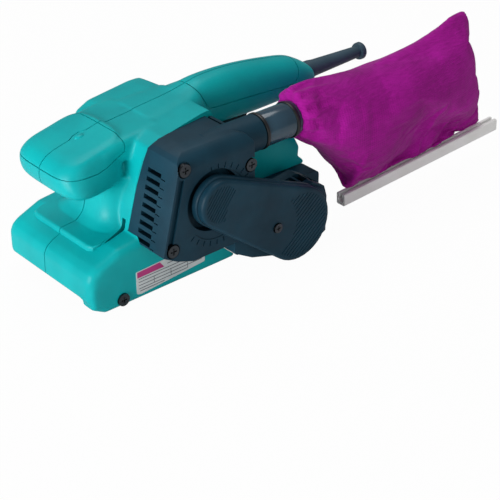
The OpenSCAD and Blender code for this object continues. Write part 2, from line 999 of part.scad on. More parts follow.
// Fork that carries the axle and swings a little for tracking
module roller_yoke() {
    arm_in = roller_w / 2 + clear;
    beam_x = front.x + front_r + release;
    stop_x = tracking_at.x + 1.5 + clear;
    color("#8d9296")
        difference() {
            union() {
                for (y = [-arm_in - 2.4, arm_in])
                    side(y, y + 2.4) {
                        translate(front)
                            circle(9);
                        translate([front.x, front.y - 5])
                            square([beam_x + 3 - front.x, 10]);
                    }
                side(-arm_in - 2.4, -arm_in)
                    translate([stop_x, tracking_at.y - 3])
                        square([8, front.y - tracking_at.y]);
                translate([beam_x, -arm_in - 2.4, front.y - 5])
                    cube([3, 2 * arm_in + 4.8, 10]);
                translate([beam_x, -9, front.y - 2])
                    cube([yoke_pivot.x - beam_x, 18, 4]);
                translate([yoke_pivot.x, 0, front.y - 2])
                    cylinder(r = 9, h = 4);
            }
            bar(front, axle_r, -belt_w, belt_w);
            translate([yoke_pivot.x, 0, 0])
                cylinder(r = 3 + run, h = 60);
        }
}

// Slide on the shoe that pushes the yoke forward, with the hook that the lever draws back
module yoke_carriage() {
    z = shoe_top + slide_gap;
    hook_x = lever_pivot.x + 1.5 + 0.6;
    color("#7b8084") {
        translate([yoke_pivot.x - 8, -12, z])
            cube([18, 24, front.y - 2 - clear - z]);
        translate([yoke_pivot.x, 0, z])
            cylinder(r = 3, h = front.y + 4 - z);
        translate([yoke_pivot.x + 9, 12 - 4, z + 3.6])
            cube([hook_x + 3 - yoke_pivot.x - 9, 4, 2.6]);
        translate([hook_x, 12 - 4, z + 3.6])
            cube([3, lever_pivot.y - 12, 2.6]);
    }
}

module tension_spring() {
    turns = 7;
    from = yoke_pivot.x + 10;
    to = -10;
    pitch = (to - from - 1.2) / turns;
    color("#c0c4c7")
        for (i = [0 : turns])
            translate([from + i * pitch + 0.6, 0, 13.6])
                rotate([0, 90, 0])
                    rotate_extrude($fn = 24)
                        translate([2.6, 0])
                            circle(0.6, $fn = 16);
}

// Lever on the open side: its finger draws the carriage back
module tension_lever() {
    z = shoe_top + 1.2 + slide_gap;
    arm_y = belt_w / 2 - 4;
    color("#1d1f22")
        translate([lever_pivot.x, lever_pivot.y, z])
            difference() {
                union() {
                    cylinder(r = 4.2, h = 6);
                    translate([-1.5, -6.5, 0])
                        cube([3, 6.5, 6]);
                    translate([0, -6.5, 0])
                        cylinder(r = 1.5, h = 6);
                    translate([0, 2, 0])
                        cube([6, arm_y + 2 - lever_pivot.y, 6]);
                    translate([0, arm_y - lever_pivot.y, 0])
                        cube([44, 4, 9]);
                    translate([38, arm_y - lever_pivot.y, 0])
                        cube([10, 9, 9]);
                }
                translate([0, 0, -1])
                    cylinder(r = 2.5 + run, h = 20);
            }
}

module lever_pin() {
    color("#9da1a5")
        translate([lever_pivot.x, lever_pivot.y, shoe_top - 4]) {
            cylinder(r = 2.5, h = 11.2 + 3 * slide_gap);
            translate([0, 0, 11.2 + 2 * slide_gap])
                cylinder(r = 4.2, h = 1.5);
        }
}

module tracking_screw() {
    color("#131517")
        difference() {
            union() {
                bar(tracking_at, 5, -cheek_y - 1.5, -cheek_y + 1.2);
                bar(tracking_at, 3, -cheek_y, -side_in);
                bar(tracking_at - [0, eccentric], 1.5, -side_in - 1, -side_in + 3);
            }
            for (a = [0, 90])
                translate([tracking_at.x, -cheek_y - 1.5, tracking_at.y])
                    rotate([0, a, 0])
                        cube([5, 1.6, 1.1], center = true);
        }
}

// ---------- Handle fittings ----------

module switch_body() {
    color("#202225")
        difference() {
            translate([trigger_pivot.x + 5, -10, 106])
                cube([36, 20, 11]);
            bar(lock_at, 2.8, 6, 12);
        }
}

module trigger() {
    color("#17191b")
        difference() {
            union() {
                bar(trigger_pivot, 4.5, -6, 6);
                pebble(-6, 6, 2)
                    soft([[66.5, 99], [68, 88], [73, 81.5], [84, 83.5], [96, 82], [99.5, 88],
                        [99.5, 101], [72, 101]], 2);
            }
            bar(trigger_pivot, 2 + run, -10, 10);
        }
}

module trigger_pin() {
    color("#9da1a5")
        bar(trigger_pivot, 2, -11.5, 11.5);
}

module lock_button() {
    color("#17191b") {
        bar(lock_at, 4.9, 13.4, grip_w / 2 + 2.5);
        bar(lock_at, 2.4, 10.5, 13.5);
    }
}

// Tapered guard with a collar inside the handle and a flange at its end
module cord_guard() {
    end = handle_end + guard_len;
    color("#22333f")
        translate([0, 0, guard_z])
            rotate([0, 90, 0])
                difference() {
                    rotate_extrude()
                        polygon([[0, 151], [7.6, 151], [7.6, 155.8], [9, 156], [9, 160], [7.6, 160.2],
                            [7.6, handle_end + 1], [6.9, handle_end + 6], [5, end - 7], [4.9, end - 5],
                            [7, end - 4.6], [7.3, end - 3.4], [7.3, end - 1], [6.6, end], [0, end]]);
                    translate([0, 0, 150])
                        cylinder(r = cord_r, h = end - 140);
                }
}

// Saddle that pins the cord, with its two screws
module cord_clamp() {
    color("#2a2c2f")
        difference() {
            translate([clamp_at.x - 3.5, -clamp_at.y - 2.2, guard_z + 1.6])
                cube([7, 2 * clamp_at.y + 4.4, 3]);
            rod([0, guard_z], cord_r, 140, 152);
            for (y = [-clamp_at.y, clamp_at.y])
                translate([clamp_at.x, y, 90])
                    cylinder(r = 1.4, h = 30);
        }
}

// ---------- Fasteners ----------

module screw(p, y0, y1, head_r, head_h, r) {
    difference() {
        union() {
            bar(p, head_r, y0, y0 + head_h);
            bar(p, r, y0 + head_h - 0.1, y1);
        }
        for (a = [0, 90])
            translate([p.x, y0, p.y])
                rotate([0, a, 0])
                    cube([head_r * 1.1, 1.6, head_r * 0.24], center = true);
    }
}

module case_screws() {
    color("#1b1d1f")
        for (s = case_screw_at)
            mirror([0, 1, 0])
                screw([s[0], s[1]], -s[2] - 3, -s[3], 3.7, 3, 2);
}

module fan_housing_screws() {
    color("#131517")
        for (s = screw_marks)
            screw(s, -fan_out - 0.6, -fan_in + 12, 5, 3.1, 2);
}

module cover_screw() {
    color("#131517")
        screw(cover_screw_at, -cover_out - 1.4, -frame_out + 2.5, 3.8, 2.2, 1.5);
}

module shoe_screws() {
    color("#8f9397")
        for (x = shoe_screw_x)
            bar([x, 15], 1.6, -side_in - 3, -side_in + 4);
}

module clamp_screws() {
    color("#8f9397")
        for (y = [-clamp_at.y, clamp_at.y])
            translate([clamp_at.x, y, guard_z - 9.5]) {
                cylinder(r = 1.3, h = 14.1);
                translate([0, 0, 14.1])
                    cylinder(r = 2.2, h = 1.2);
            }
}

module frame_screws() {
    color("#1b1d1f")
        for (s = frame_screw_at)
            screw(s, -cheek_y - 6.4, -rear_wall + 1.2, 3, 2.4, 1.6);
}

// ---------- Dust bag ----------

module along_outlet(x) {
    translate([x, -outlet_y, outlet_z])
        rotate([0, 90, 0])
            children();
}

module bag_cuff() {
    color("#2c4656")
        along_outlet(0)
            difference() {
                union() {
                    translate([0, 0, outlet_end - 16])
                        cylinder(r = outlet_bore - run, h = 17);
                    translate([0, 0, outlet_end + clear])
                        cylinder(r = cuff_r, h = cuff_len - clear);
                    translate([0, 0, cuff_end - 1])
                        cylinder(r = stub_r, h = 11);
                }
                translate([0, 0, outlet_end - 20])
                    cylinder(r = outlet_bore - 1.8, h = cuff_len + 40);
            }
}

module cuff_rings() {
    color("#101a20")
        for (x = [outlet_end + clear, cuff_end - 3])
            along_outlet(x)
                difference() {
                    cylinder(r = cuff_r + 1.3, h = 2.6);
                    translate([0, 0, -1])
                        cylinder(r = cuff_r, h = 5);
                }
}

module bag_ring() {
    color("#b9b4c4")
        along_outlet(cuff_end + clear)
            difference() {
                cylinder(r = cuff_r + 0.8, h = 2.2);
                translate([0, 0, -1])
                    cylinder(r = stub_r + run, h = 5);
            }
}

// Rail axis: x runs along the rail, z stands on it
module on_rail() {
    translate([rail_from.x, -outlet_y, rail_from.y])
        rotate([0, -rail_tilt, 0])
            children();
}

// One slice through the full bag: a drop shape that thins towards the hem
module bag_slice(x, z0, z1, t, foot) {
    translate([x, -outlet_y, 0])
        rotate([90, 0, 90])
            linear_extrude(0.02)
                polygon(concat(
                    [for (i = [0 : 8]) let (s = i / 8)
                        [foot + (t / 2 - foot) * pow(sin(180 * pow(s, 0.75)), 0.8), z0 + (z1 - z0) * s]],
                    [for (i = [8 : -1 : 0]) let (s = i / 8)
                        [-foot - (t / 2 - foot) * pow(sin(180 * pow(s, 0.75)), 0.8), z0 + (z1 - z0) * s]]));
}

module dust_bag() {
    neck = cuff_end + clear + 2.2;
    // x, lower edge, upper edge, thickness, half width of the lower edge
    cuts = [
        [neck + 12, 86, 126, bag_t * 0.8, 8],
        [neck + 31, 68, 128, bag_t * 0.95, 5],
        [neck + 58, 26, 130, bag_t, 1.2],
        [neck + 117, 26.5, 133, bag_t * 1.05, 1.2],
        [neck + 173, 29, 143, bag_t, 1.2],
        [neck + 201, 30.5, 118, bag_t * 0.7, 1.2],
        [neck + 232, 32, 44, bag_t * 0.12, 1.2]];
    color("#8b1a80") {
        difference() {
            hull() {
                along_outlet(neck)
                    cylinder(r = cuff_r + 1, h = 0.5);
                bag_slice(cuts[0][0], cuts[0][1], cuts[0][2], cuts[0][3], cuts[0][4]);
            }
            along_outlet(neck - 1)
                cylinder(r = stub_r + clear + 0.2, h = 11);
        }
        for (i = [0 : len(cuts) - 2])
            hull() {
                bag_slice(cuts[i][0], cuts[i][1], cuts[i][2], cuts[i][3], cuts[i][4]);
                bag_slice(cuts[i + 1][0], cuts[i + 1][1], cuts[i + 1][2], cuts[i + 1][3], cuts[i + 1][4]);
            }
        on_rail() {
            translate([1.5, -1, 0])
                cube([174, 2, 14]);
            translate([1.5, 0, 0])
                rotate([0, 90, 0])
                    cylinder(r = rail_w / 2 - 1.9, h = 174);
        }
    }
}

module bag_rail() {
    color("#e8e8e4")
        on_rail()
            rotate([90, 0, 90])
                linear_extrude(rail_len)
                    difference() {
                        soft([[-rail_w / 2, -rail_w / 2], [rail_w / 2, -rail_w / 2],
                            [rail_w / 2, rail_w / 2 + 1.5], [-rail_w / 2, rail_w / 2 + 1.5]], 1.2);
                        circle(rail_w / 2 - 1.4);
                        translate([-1.5, 0])
                            square([3, rail_w]);
                    }
}

housing_left();
housing_right();
fan_housing();
fan_baffle();
drive_frame();
belt_cover();
rating_label();
shoe();
cork_pad();
sole_plate();
sanding_belt();
timing_belt();
stator_core();
field_coils();
brush_holders();
carbon_brushes();
brush_caps();
bearing_brush_end();
bearing_drive_end();
roller_bearings();
switch_body();
cord_guard();
cord_clamp();
case_screws();
fan_housing_screws();
cover_screw();
shoe_screws();
clamp_screws();
frame_screws();
armature_shaft();
armature_core();
armature_windings();
commutator();
cooling_fan();
dust_fan();
motor_pulley();
drive_shaft();
drive_roller();
roller_sleeve();
roller_pulley();
pulley_nut();
front_roller();
roller_yoke();
front_axle();
yoke_carriage();
tension_spring();
tension_lever();
lever_pin();
tracking_screw();
trigger();
trigger_pin();
lock_button();
bag_cuff();
cuff_rings();
dust_bag();
bag_ring();
bag_rail();
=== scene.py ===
"""Handheld belt sander with its dust bag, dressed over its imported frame."""
import json
import math

import bmesh
import bpy
from mathutils import Euler, Matrix, Vector, noise


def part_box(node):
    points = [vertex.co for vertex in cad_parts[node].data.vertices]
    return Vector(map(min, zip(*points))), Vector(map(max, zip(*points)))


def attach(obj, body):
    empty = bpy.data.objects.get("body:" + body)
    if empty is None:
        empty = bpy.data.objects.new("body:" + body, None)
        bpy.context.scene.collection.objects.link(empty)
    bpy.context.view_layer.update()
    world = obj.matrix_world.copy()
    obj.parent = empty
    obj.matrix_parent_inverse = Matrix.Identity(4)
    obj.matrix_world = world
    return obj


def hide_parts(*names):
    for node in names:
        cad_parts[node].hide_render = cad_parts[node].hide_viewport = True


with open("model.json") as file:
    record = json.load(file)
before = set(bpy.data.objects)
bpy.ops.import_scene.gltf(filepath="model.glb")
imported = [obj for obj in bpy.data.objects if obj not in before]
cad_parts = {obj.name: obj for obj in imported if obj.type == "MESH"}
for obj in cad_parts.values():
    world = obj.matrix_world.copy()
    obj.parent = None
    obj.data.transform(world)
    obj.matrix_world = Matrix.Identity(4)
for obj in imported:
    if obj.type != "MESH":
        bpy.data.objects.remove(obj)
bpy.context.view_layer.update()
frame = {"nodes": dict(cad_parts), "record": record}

bl_info = {
    "name": "Belt Sander Dresser",
    "version": (1, 0, 0),
    "blender": (4, 5, 0),
    "location": "3D View > Sidebar > Sander",
    "description": "Models and finishes a handheld belt sander over its frame",
    "category": "Object",
}

MM = 0.001
MACHINE, BAG, CUFF = "machine", "bag_set", "cuff_set"
# Width and depth of the moulded lines
GROOVE, GROOVE_DEPTH = 0.8, 0.9
# Cap line of the front grip and panel line of the rear handle, X and Z
GRIP_LINE = [(-110, 101.3), (-68, 101.3), (-60, 103), (-50, 106.9), (-43.2, 110.4), (-42.2, 113.4),
             (-42.2, 134)]
HANDLE_LINE = [(37, 140), (40, 128), (44.4, 118.5), (47.4, 112.6), (51.5, 109.2), (60, 108.2), (98.5, 105.8),
               (128, 103.6), (136, 103.1), (140.4, 104.4), (143.4, 107.4), (144.9, 111.4), (147, 130)]
# Case screws of the open side: X, Z and the seat of the head
CASE_WELLS = [(-76, 96, 22), (-27, 108, 40), (-38, 60, 40), (31, 66, 40), (31, 106, 40), (60, 118, 12),
              (122, 114, 12), (133, 96, 11)]
# Screws of the fan housing, X and Z
FAN_SCREWS = [(-28.9, 110.3), (-41.5, 49), (33, 94)]
# Axes of the motor and of the big wheel of the cover, X and Z, and of the outlet, Y and Z
MOTOR, BIG_WHEEL, OUTLET = (-3, 77.7), (74, 31.95), (-66, 107)
# Y of the shell's two sides, of the fan housing's face and of the belt cover's face
NEAR, FAR, FAN_FACE, COVER_FACE = -58, 50, -85, -95
# Start and tilt of the rail's upper edge, which holds the hem of the bag
RAIL_FOOT, RAIL_TILT = (145.5, 15.5), math.tan(math.radians(2.8))
CLOTH_FRAMES = 24
# Where the fan housing meets the shell, X and Y
FAN_EDGE = [(-56, -40.6), (-50, -41.4), (-41, -43.2), (-36.4, -46), (-34, -48.4), (-30, -49.5), (-18, -48.4),
            (-5, -46.3), (16, -43.2), (33.5, -40.6), (37.2, -40.2)]
# Foot, front wall, top and rear corner of the fan housing, X and Z, clockwise seen from the drive side
FAN_PROFILE = [(-25, 34.3), (-38, 39), (-50.4, 46.3), (-33.7, 116), (-30, 118.6), (-24, 120.4), (-16, 121),
               (24, 120.6), (32, 117.8), (36.4, 112), (37, 40)]


# ---------- Small tools ----------

def linear(text):
    """Linear RGBA of an sRGB hex colour."""
    parts = [int(text[i:i + 2], 16) / 255 for i in (1, 3, 5)]
    return tuple(c / 12.92 if c <= 0.04045 else ((c + 0.055) / 1.055) ** 2.4 for c in parts) + (1.0,)


def middle(node):
    """Centre of a node's box, in millimetres."""
    low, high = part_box(node)
    return (low + high) / 2 / MM


def settings():
    """The sizes and lights that the panel's properties hold."""
    return bpy.context.scene.belt_sander


def from_bmesh(name, mesh):
    """A new object in the scene from a bmesh in millimetres."""
    bmesh.ops.scale(mesh, vec=(MM, MM, MM), verts=mesh.verts)
    data = bpy.data.meshes.new(name)
    mesh.to_mesh(data)
    mesh.free()
    piece = bpy.data.objects.new(name, data)
    bpy.context.scene.collection.objects.link(piece)
    return piece


def finished(piece):
    """Gives the piece the mesh that its modifiers make, and drops them."""
    graph = bpy.context.evaluated_depsgraph_get()
    made = bpy.data.meshes.new_from_object(piece.evaluated_get(graph))
    piece.modifiers.clear()
    piece.data = made
    return piece


def dressed(piece, material, body, slot, angle=35):
    """Smooth shading with sharp edges, one material and a body. The slot is not used."""
    piece.data.materials.clear()
    piece.data.materials.append(material)
    piece.data.polygons.foreach_set("use_smooth", [True] * len(piece.data.polygons))
    piece.data.set_sharp_from_angle(angle=math.radians(angle))
    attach(piece, body)
    return piece


def outward(mesh):
    """Merges doubles and turns every face outwards."""
    bmesh.ops.remove_doubles(mesh, verts=mesh.verts, dist=1e-4)
    bmesh.ops.recalc_face_normals(mesh, faces=mesh.faces)
    return mesh


def squircle(angle, half_u, half_v, power):
    """A point of a rounded rectangle of that power: 2 is an ellipse, 8 nearly square."""
    c, s = math.cos(angle), math.sin(angle)
    return (half_u * math.copysign(abs(c) ** (2 / power), c),
            half_v * math.copysign(abs(s) ** (2 / power), s))


def smooth_rows(rows, steps):
    """More rows between the given ones, on a smooth curve through them."""
    last = len(rows) - 1
    made = []
    for i in range(last):
        a, b, c, d = rows[max(i - 1, 0)], rows[i], rows[i + 1], rows[min(i + 2, last)]
        for k in range(steps):
            t = k / steps
            made.append([
                0.5 * (2 * q + (r - p) * t + (2 * p - 5 * q + 4 * r - s) * t * t
                       + (3 * q - p - 3 * r + s) * t ** 3)
                for p, q, r, s in zip(a, b, c, d)])
    made.append(list(rows[last]))
    return made


def loft(mesh, rows, place, count=48):
    """A closed skin through one ring for each row. place(row, angle) gives a point."""
    rings = []
    for row in rows:
        verts = bmesh.ops.create_circle(mesh, segments=count, radius=1)["verts"]
        for i, vert in enumerate(verts):
            vert.co = place(row, math.tau * i / count)
        rings.append(list({e for v in verts for e in v.link_edges}))
    for near, far in zip(rings, rings[1:]):
        bmesh.ops.bridge_loops(mesh, edges=near + far)
    for end in (rings[0], rings[-1]):
        bmesh.ops.contextual_create(mesh, geom=end)
    return mesh


def slab(mesh, outline, y0, y1, edge=0.0, corner=0.0, segments=3):
    """A flat outline in X and Z pulled from y0 to y1, with rounded corners and edges."""
    verts = [mesh.verts.new((x, y0, z)) for x, z in outline]
    face = mesh.faces.new(verts)
    pulled = bmesh.ops.extrude_face_region(mesh, geom=[face])["geom"]
    moved = [g for g in pulled if isinstance(g, bmesh.types.BMVert)]
    bmesh.ops.translate(mesh, vec=(0, y1 - y0, 0), verts=moved)
    verts += moved
    faces = {f for v in verts for f in v.link_faces}
    if corner:
        long = [e for e in {e for f in faces for e in f.edges}
                if abs(e.verts[0].co.y - e.verts[1].co.y) > 1e-3]
        made = bmesh.ops.bevel(mesh, geom=long, offset=corner, segments=segments, profile=0.5,
                               affect="EDGES", material=-1, clamp_overlap=True)
        faces = {f for f in faces if f.is_valid} | set(made["faces"])
        verts = list({v for f in faces for v in f.verts})
    if edge:
        rim = [e for e in {e for f in faces if f.is_valid for e in f.edges}
               if abs(e.verts[0].co.y - e.verts[1].co.y) < 1e-3]
        made = bmesh.ops.bevel(mesh, geom=rim, offset=edge, segments=segments, profile=0.5,
                               affect="EDGES", material=-1, clamp_overlap=True)
        faces = {f for f in faces if f.is_valid} | set(made["faces"])
        verts = list({v for f in faces for v in f.verts})
    return verts


def rod(mesh, start, end, radius, count=32):
    """A closed round bar between two points."""
    start, end = Vector(start), Vector(end)
    way = end - start
    verts = bmesh.ops.create_cone(mesh, cap_ends=True, segments=count, radius1=radius, radius2=radius,
                                  depth=way.length)["verts"]
    turn = way.to_track_quat("Z", "Y").to_matrix().to_4x4()
    bmesh.ops.transform(mesh, matrix=Matrix.Translation((start + end) / 2) @ turn, verts=verts)
    return verts


def box(mesh, low, high, turn=None, about=None):
    """A box between two corners, turned about a point if wanted."""
    low, high = Vector(low), Vector(high)
    verts = bmesh.ops.create_cube(mesh, size=1)["verts"]
    size = Matrix.Diagonal((high - low).to_4d())
    size[3][3] = 1
    bmesh.ops.transform(mesh, matrix=Matrix.Translation((low + high) / 2) @ size, verts=verts)
    if turn:
        bmesh.ops.rotate(mesh, cent=about or (low + high) / 2, matrix=Euler(turn).to_matrix(), verts=verts)
    return verts


def lathe(mesh, profile, count=64):
    """A closed turned piece: profile is (radius, place along the axis) pairs."""
    verts = [mesh.verts.new((r, 0, h)) for r, h in profile]
    edges = [mesh.edges.new(pair) for pair in zip(verts, verts[1:] + verts[:1])]
    bmesh.ops.spin(mesh, geom=verts + edges, cent=(0, 0, 0), axis=(0, 0, 1), angle=math.tau,
                   steps=count, use_merge=True, use_duplicate=False)


def on_outlet(mesh):
    """Lays turned pieces along the axis of the outlet."""
    bmesh.ops.rotate(mesh, cent=(0, 0, 0), matrix=Matrix.Rotation(math.radians(90), 3, "Y"),
                     verts=mesh.verts)
    bmesh.ops.translate(mesh, vec=(0, *OUTLET), verts=mesh.verts)
    return mesh


def arc(centre, radius, start, end, steps=12):
    """Points of an arc in X and Z, angles in degrees."""
    return [(centre[0] + radius * math.cos(math.radians(start + (end - start) * i / steps)),
             centre[1] + radius * math.sin(math.radians(start + (end - start) * i / steps)))
            for i in range(steps + 1)]


def wrap(a, ra, b, rb, steps=20):
    """Outline of a band round two wheels."""
    way = Vector(b) - Vector(a)
    tilt = math.degrees(math.atan2(way.y, way.x))
    k = math.degrees(math.acos((ra - rb) / way.length))
    return arc(a, ra, tilt + k, tilt + 360 - k, steps) + arc(b, rb, tilt - k, tilt + k, steps)


def ribbon(line, width):
    """Outline of a band of that width along a line in X and Z."""
    sides = ([], [])
    for i, here in enumerate(line):
        way = Vector(line[min(i + 1, len(line) - 1)]) - Vector(line[max(i - 1, 0)])
        out = Vector((-way.y, way.x)).normalized() * width / 2
        sides[0].append(tuple(Vector(here) + out))
        sides[1].append(tuple(Vector(here) - out))
    return sides[0] + sides[1][::-1]


def pull(mesh, face, way):
    """Pulls a face into a bar and returns its new corners."""
    made = bmesh.ops.extrude_face_region(mesh, geom=[face])["geom"]
    corners = [g for g in made if isinstance(g, bmesh.types.BMVert)]
    bmesh.ops.translate(mesh, vec=way, verts=corners)
    return corners


def cut(piece, cutter, operation="DIFFERENCE", keep=False):
    """Boolean of two closed meshes. The cutter goes away, unless it is kept."""
    step = piece.modifiers.new("cut", "BOOLEAN")
    step.operation = operation
    step.solver = "MANIFOLD"
    step.object = cutter
    finished(piece)
    if not keep:
        bpy.data.objects.remove(cutter)
    return piece


# ---------- Materials ----------

def add(tree, kind, links=None, **values):
    """Adds a node. values set its properties, links its inputs, by name or place, as a value or a socket."""
    node = tree.nodes.new(kind)
    for key, value in values.items():
        setattr(node, key, value)
    for key, value in (links or {}).items():
        if isinstance(value, bpy.types.NodeSocket):
            tree.links.new(value, node.inputs[key])
        else:
            node.inputs[key].default_value = value
    return node


def surface(name, **shader):
    """A material with a Principled shader, whose own sockets take the plain values."""
    material = bpy.data.materials.new(name)
    material.use_nodes = True
    tree = material.node_tree
    tree.nodes.clear()
    shade = add(tree, "ShaderNodeBsdfPrincipled", shader)
    out = add(tree, "ShaderNodeOutputMaterial", {"Surface": shade.outputs[0]})
    out.location.x = 400
    place = add(tree, "ShaderNodeTexCoord").outputs["Object"]
    return material, tree, shade, place


def toned(tree, shade, pattern, *stops):
    """Colours the surface through a ramp. stops are places and colours, its two ends first."""
    tone = add(tree, "ShaderNodeValToRGB", {"Fac": pattern})
    ramp = tone.color_ramp.elements
    for i, (place, colour) in enumerate(stops):
        stop = ramp[i] if i < 2 else ramp.new(place)
        stop.position, stop.color = place, colour
    tree.links.new(tone.outputs["Color"], shade.inputs["Base Color"])


def raised(tree, shade, pattern, strength, depth):
    """Lifts the surface by a pattern, depth in metres."""
    relief = add(tree, "ShaderNodeBump", {"Height": pattern, "Strength": strength, "Distance": depth})
    tree.links.new(relief.outputs["Normal"], shade.inputs["Normal"])


def moulded(name, base, light, dark, grain, bump, rough, spread, blotch=30, **shader):
    """Moulded plastic: a fine eroded grain, slow drift of colour, rub marks in the gloss.
    grain and blotch are sizes in millimetres."""
    material, tree, shade, place = surface(name, **shader)
    drift = add(tree, "ShaderNodeTexNoise", {"Vector": place, "Scale": 1000 / blotch, "Detail": 3.0})
    toned(tree, shade, drift.outputs["Fac"], (0.3, linear(dark)), (0.7, linear(light)), (0.5, linear(base)))
    fine = add(tree, "ShaderNodeTexNoise", {"Vector": place, "Scale": 1000 / grain, "Detail": 4.0,
                                            "Roughness": 0.6})
    rub = add(tree, "ShaderNodeTexNoise", {"Vector": place, "Scale": 1000 / (blotch * 0.4), "Detail": 6.0,
                                           "Distortion": 0.6})
    gloss = add(tree, "ShaderNodeMapRange", {"Value": rub.outputs["Fac"], "From Min": 0.3, "From Max": 0.7,
                                             "To Min": rough - spread, "To Max": rough + spread})
    tree.links.new(gloss.outputs["Result"], shade.inputs["Roughness"])
    raised(tree, shade, fine.outputs["Fac"], bump, 0.0002)
    return material


def machined(name, colour, rough, pitch, axis, strength=0.12, **shader):
    """Turned, drawn or rolled metal: fine lines across one axis, and a little stain."""
    material, tree, shade, place = surface(name, **{"Metallic": 1.0, **shader})
    lean = {"X": (1, 0.02, 0.02), "Y": (0.02, 1, 0.02), "Z": (0.02, 0.02, 1)}[axis]
    lines = add(tree, "ShaderNodeTexNoise", {"Vector": add(tree, "ShaderNodeMapping", {
        "Vector": place, "Scale": lean}).outputs[0], "Scale": 1000 / pitch, "Detail": 3.0})
    stain = add(tree, "ShaderNodeTexNoise", {"Vector": place, "Scale": 90.0, "Detail": 5.0})
    deep = [c * 0.72 for c in linear(colour)[:3]] + [1]
    toned(tree, shade, stain.outputs["Fac"], (0.25, deep), (0.6, linear(colour)))
    gloss = add(tree, "ShaderNodeMapRange", {"Value": lines.outputs["Fac"], "To Min": rough * 0.7,
                                             "To Max": rough * 1.4})
    tree.links.new(gloss.outputs["Result"], shade.inputs["Roughness"])
    raised(tree, shade, lines.outputs["Fac"], strength, 0.0001)
    return material


def gritted(name, base, sparkle, grit, rough, strength, **shader):
    """Bonded grit, cork or pressed powder: hard specks in a matt ground."""
    material, tree, shade, place = surface(name, **shader)
    specks = add(tree, "ShaderNodeTexVoronoi", {"Vector": place, "Scale": 1000 / grit})
    ground = add(tree, "ShaderNodeTexNoise", {"Vector": place, "Scale": 60.0, "Detail": 5.0})
    both = add(tree, "ShaderNodeMix", {"Factor": 0.4, 2: specks.outputs["Distance"],
                                       3: ground.outputs["Fac"]}, data_type="FLOAT")
    toned(tree, shade, both.outputs[0], (0.2, linear(base)), (0.75, linear(sparkle)))
    shade.inputs["Roughness"].default_value = rough
    raised(tree, shade, specks.outputs["Distance"], strength, 0.0003)
    return material


def woven(name, base, light, dark, thread, **shader):
    """Plain-woven cotton: over-and-under threads, slubs and a slow drift of dye."""
    material, tree, shade, place = surface(name, **shader)
    across = add(tree, "ShaderNodeMapping", {"Vector": place, "Rotation": (0.0, math.radians(6), 0.0)})
    warp, weft = (add(tree, "ShaderNodeTexWave", {
        "Vector": across.outputs[0], "Scale": 1000 / thread / 6.283, "Distortion": 0.4, "Detail": 1.0,
    }, bands_direction=way) for way in "XZ")
    weave = add(tree, "ShaderNodeMath", {0: warp.outputs["Fac"], 1: weft.outputs["Fac"]},
                operation="MULTIPLY")
    drift = add(tree, "ShaderNodeTexNoise", {"Vector": place, "Scale": 28.0, "Detail": 5.0, "Roughness": 0.6})
    slub = add(tree, "ShaderNodeTexNoise", {"Vector": add(tree, "ShaderNodeMapping", {
        "Vector": place, "Scale": (1.0, 1.0, 9.0)}).outputs[0], "Scale": 160.0, "Detail": 3.0})
    blend = add(tree, "ShaderNodeMix", {"Factor": 0.45, 2: drift.outputs["Fac"], 3: slub.outputs["Fac"]},
                data_type="FLOAT")
    toned(tree, shade, blend.outputs[0], (0.32, linear(dark)), (0.68, linear(light)), (0.5, linear(base)))
    height = add(tree, "ShaderNodeMath", {0: weave.outputs[0], 1: slub.outputs["Fac"]}, operation="ADD")
    raised(tree, shade, height.outputs[0], 0.5, 0.0004)
    return material


FINISH = {}


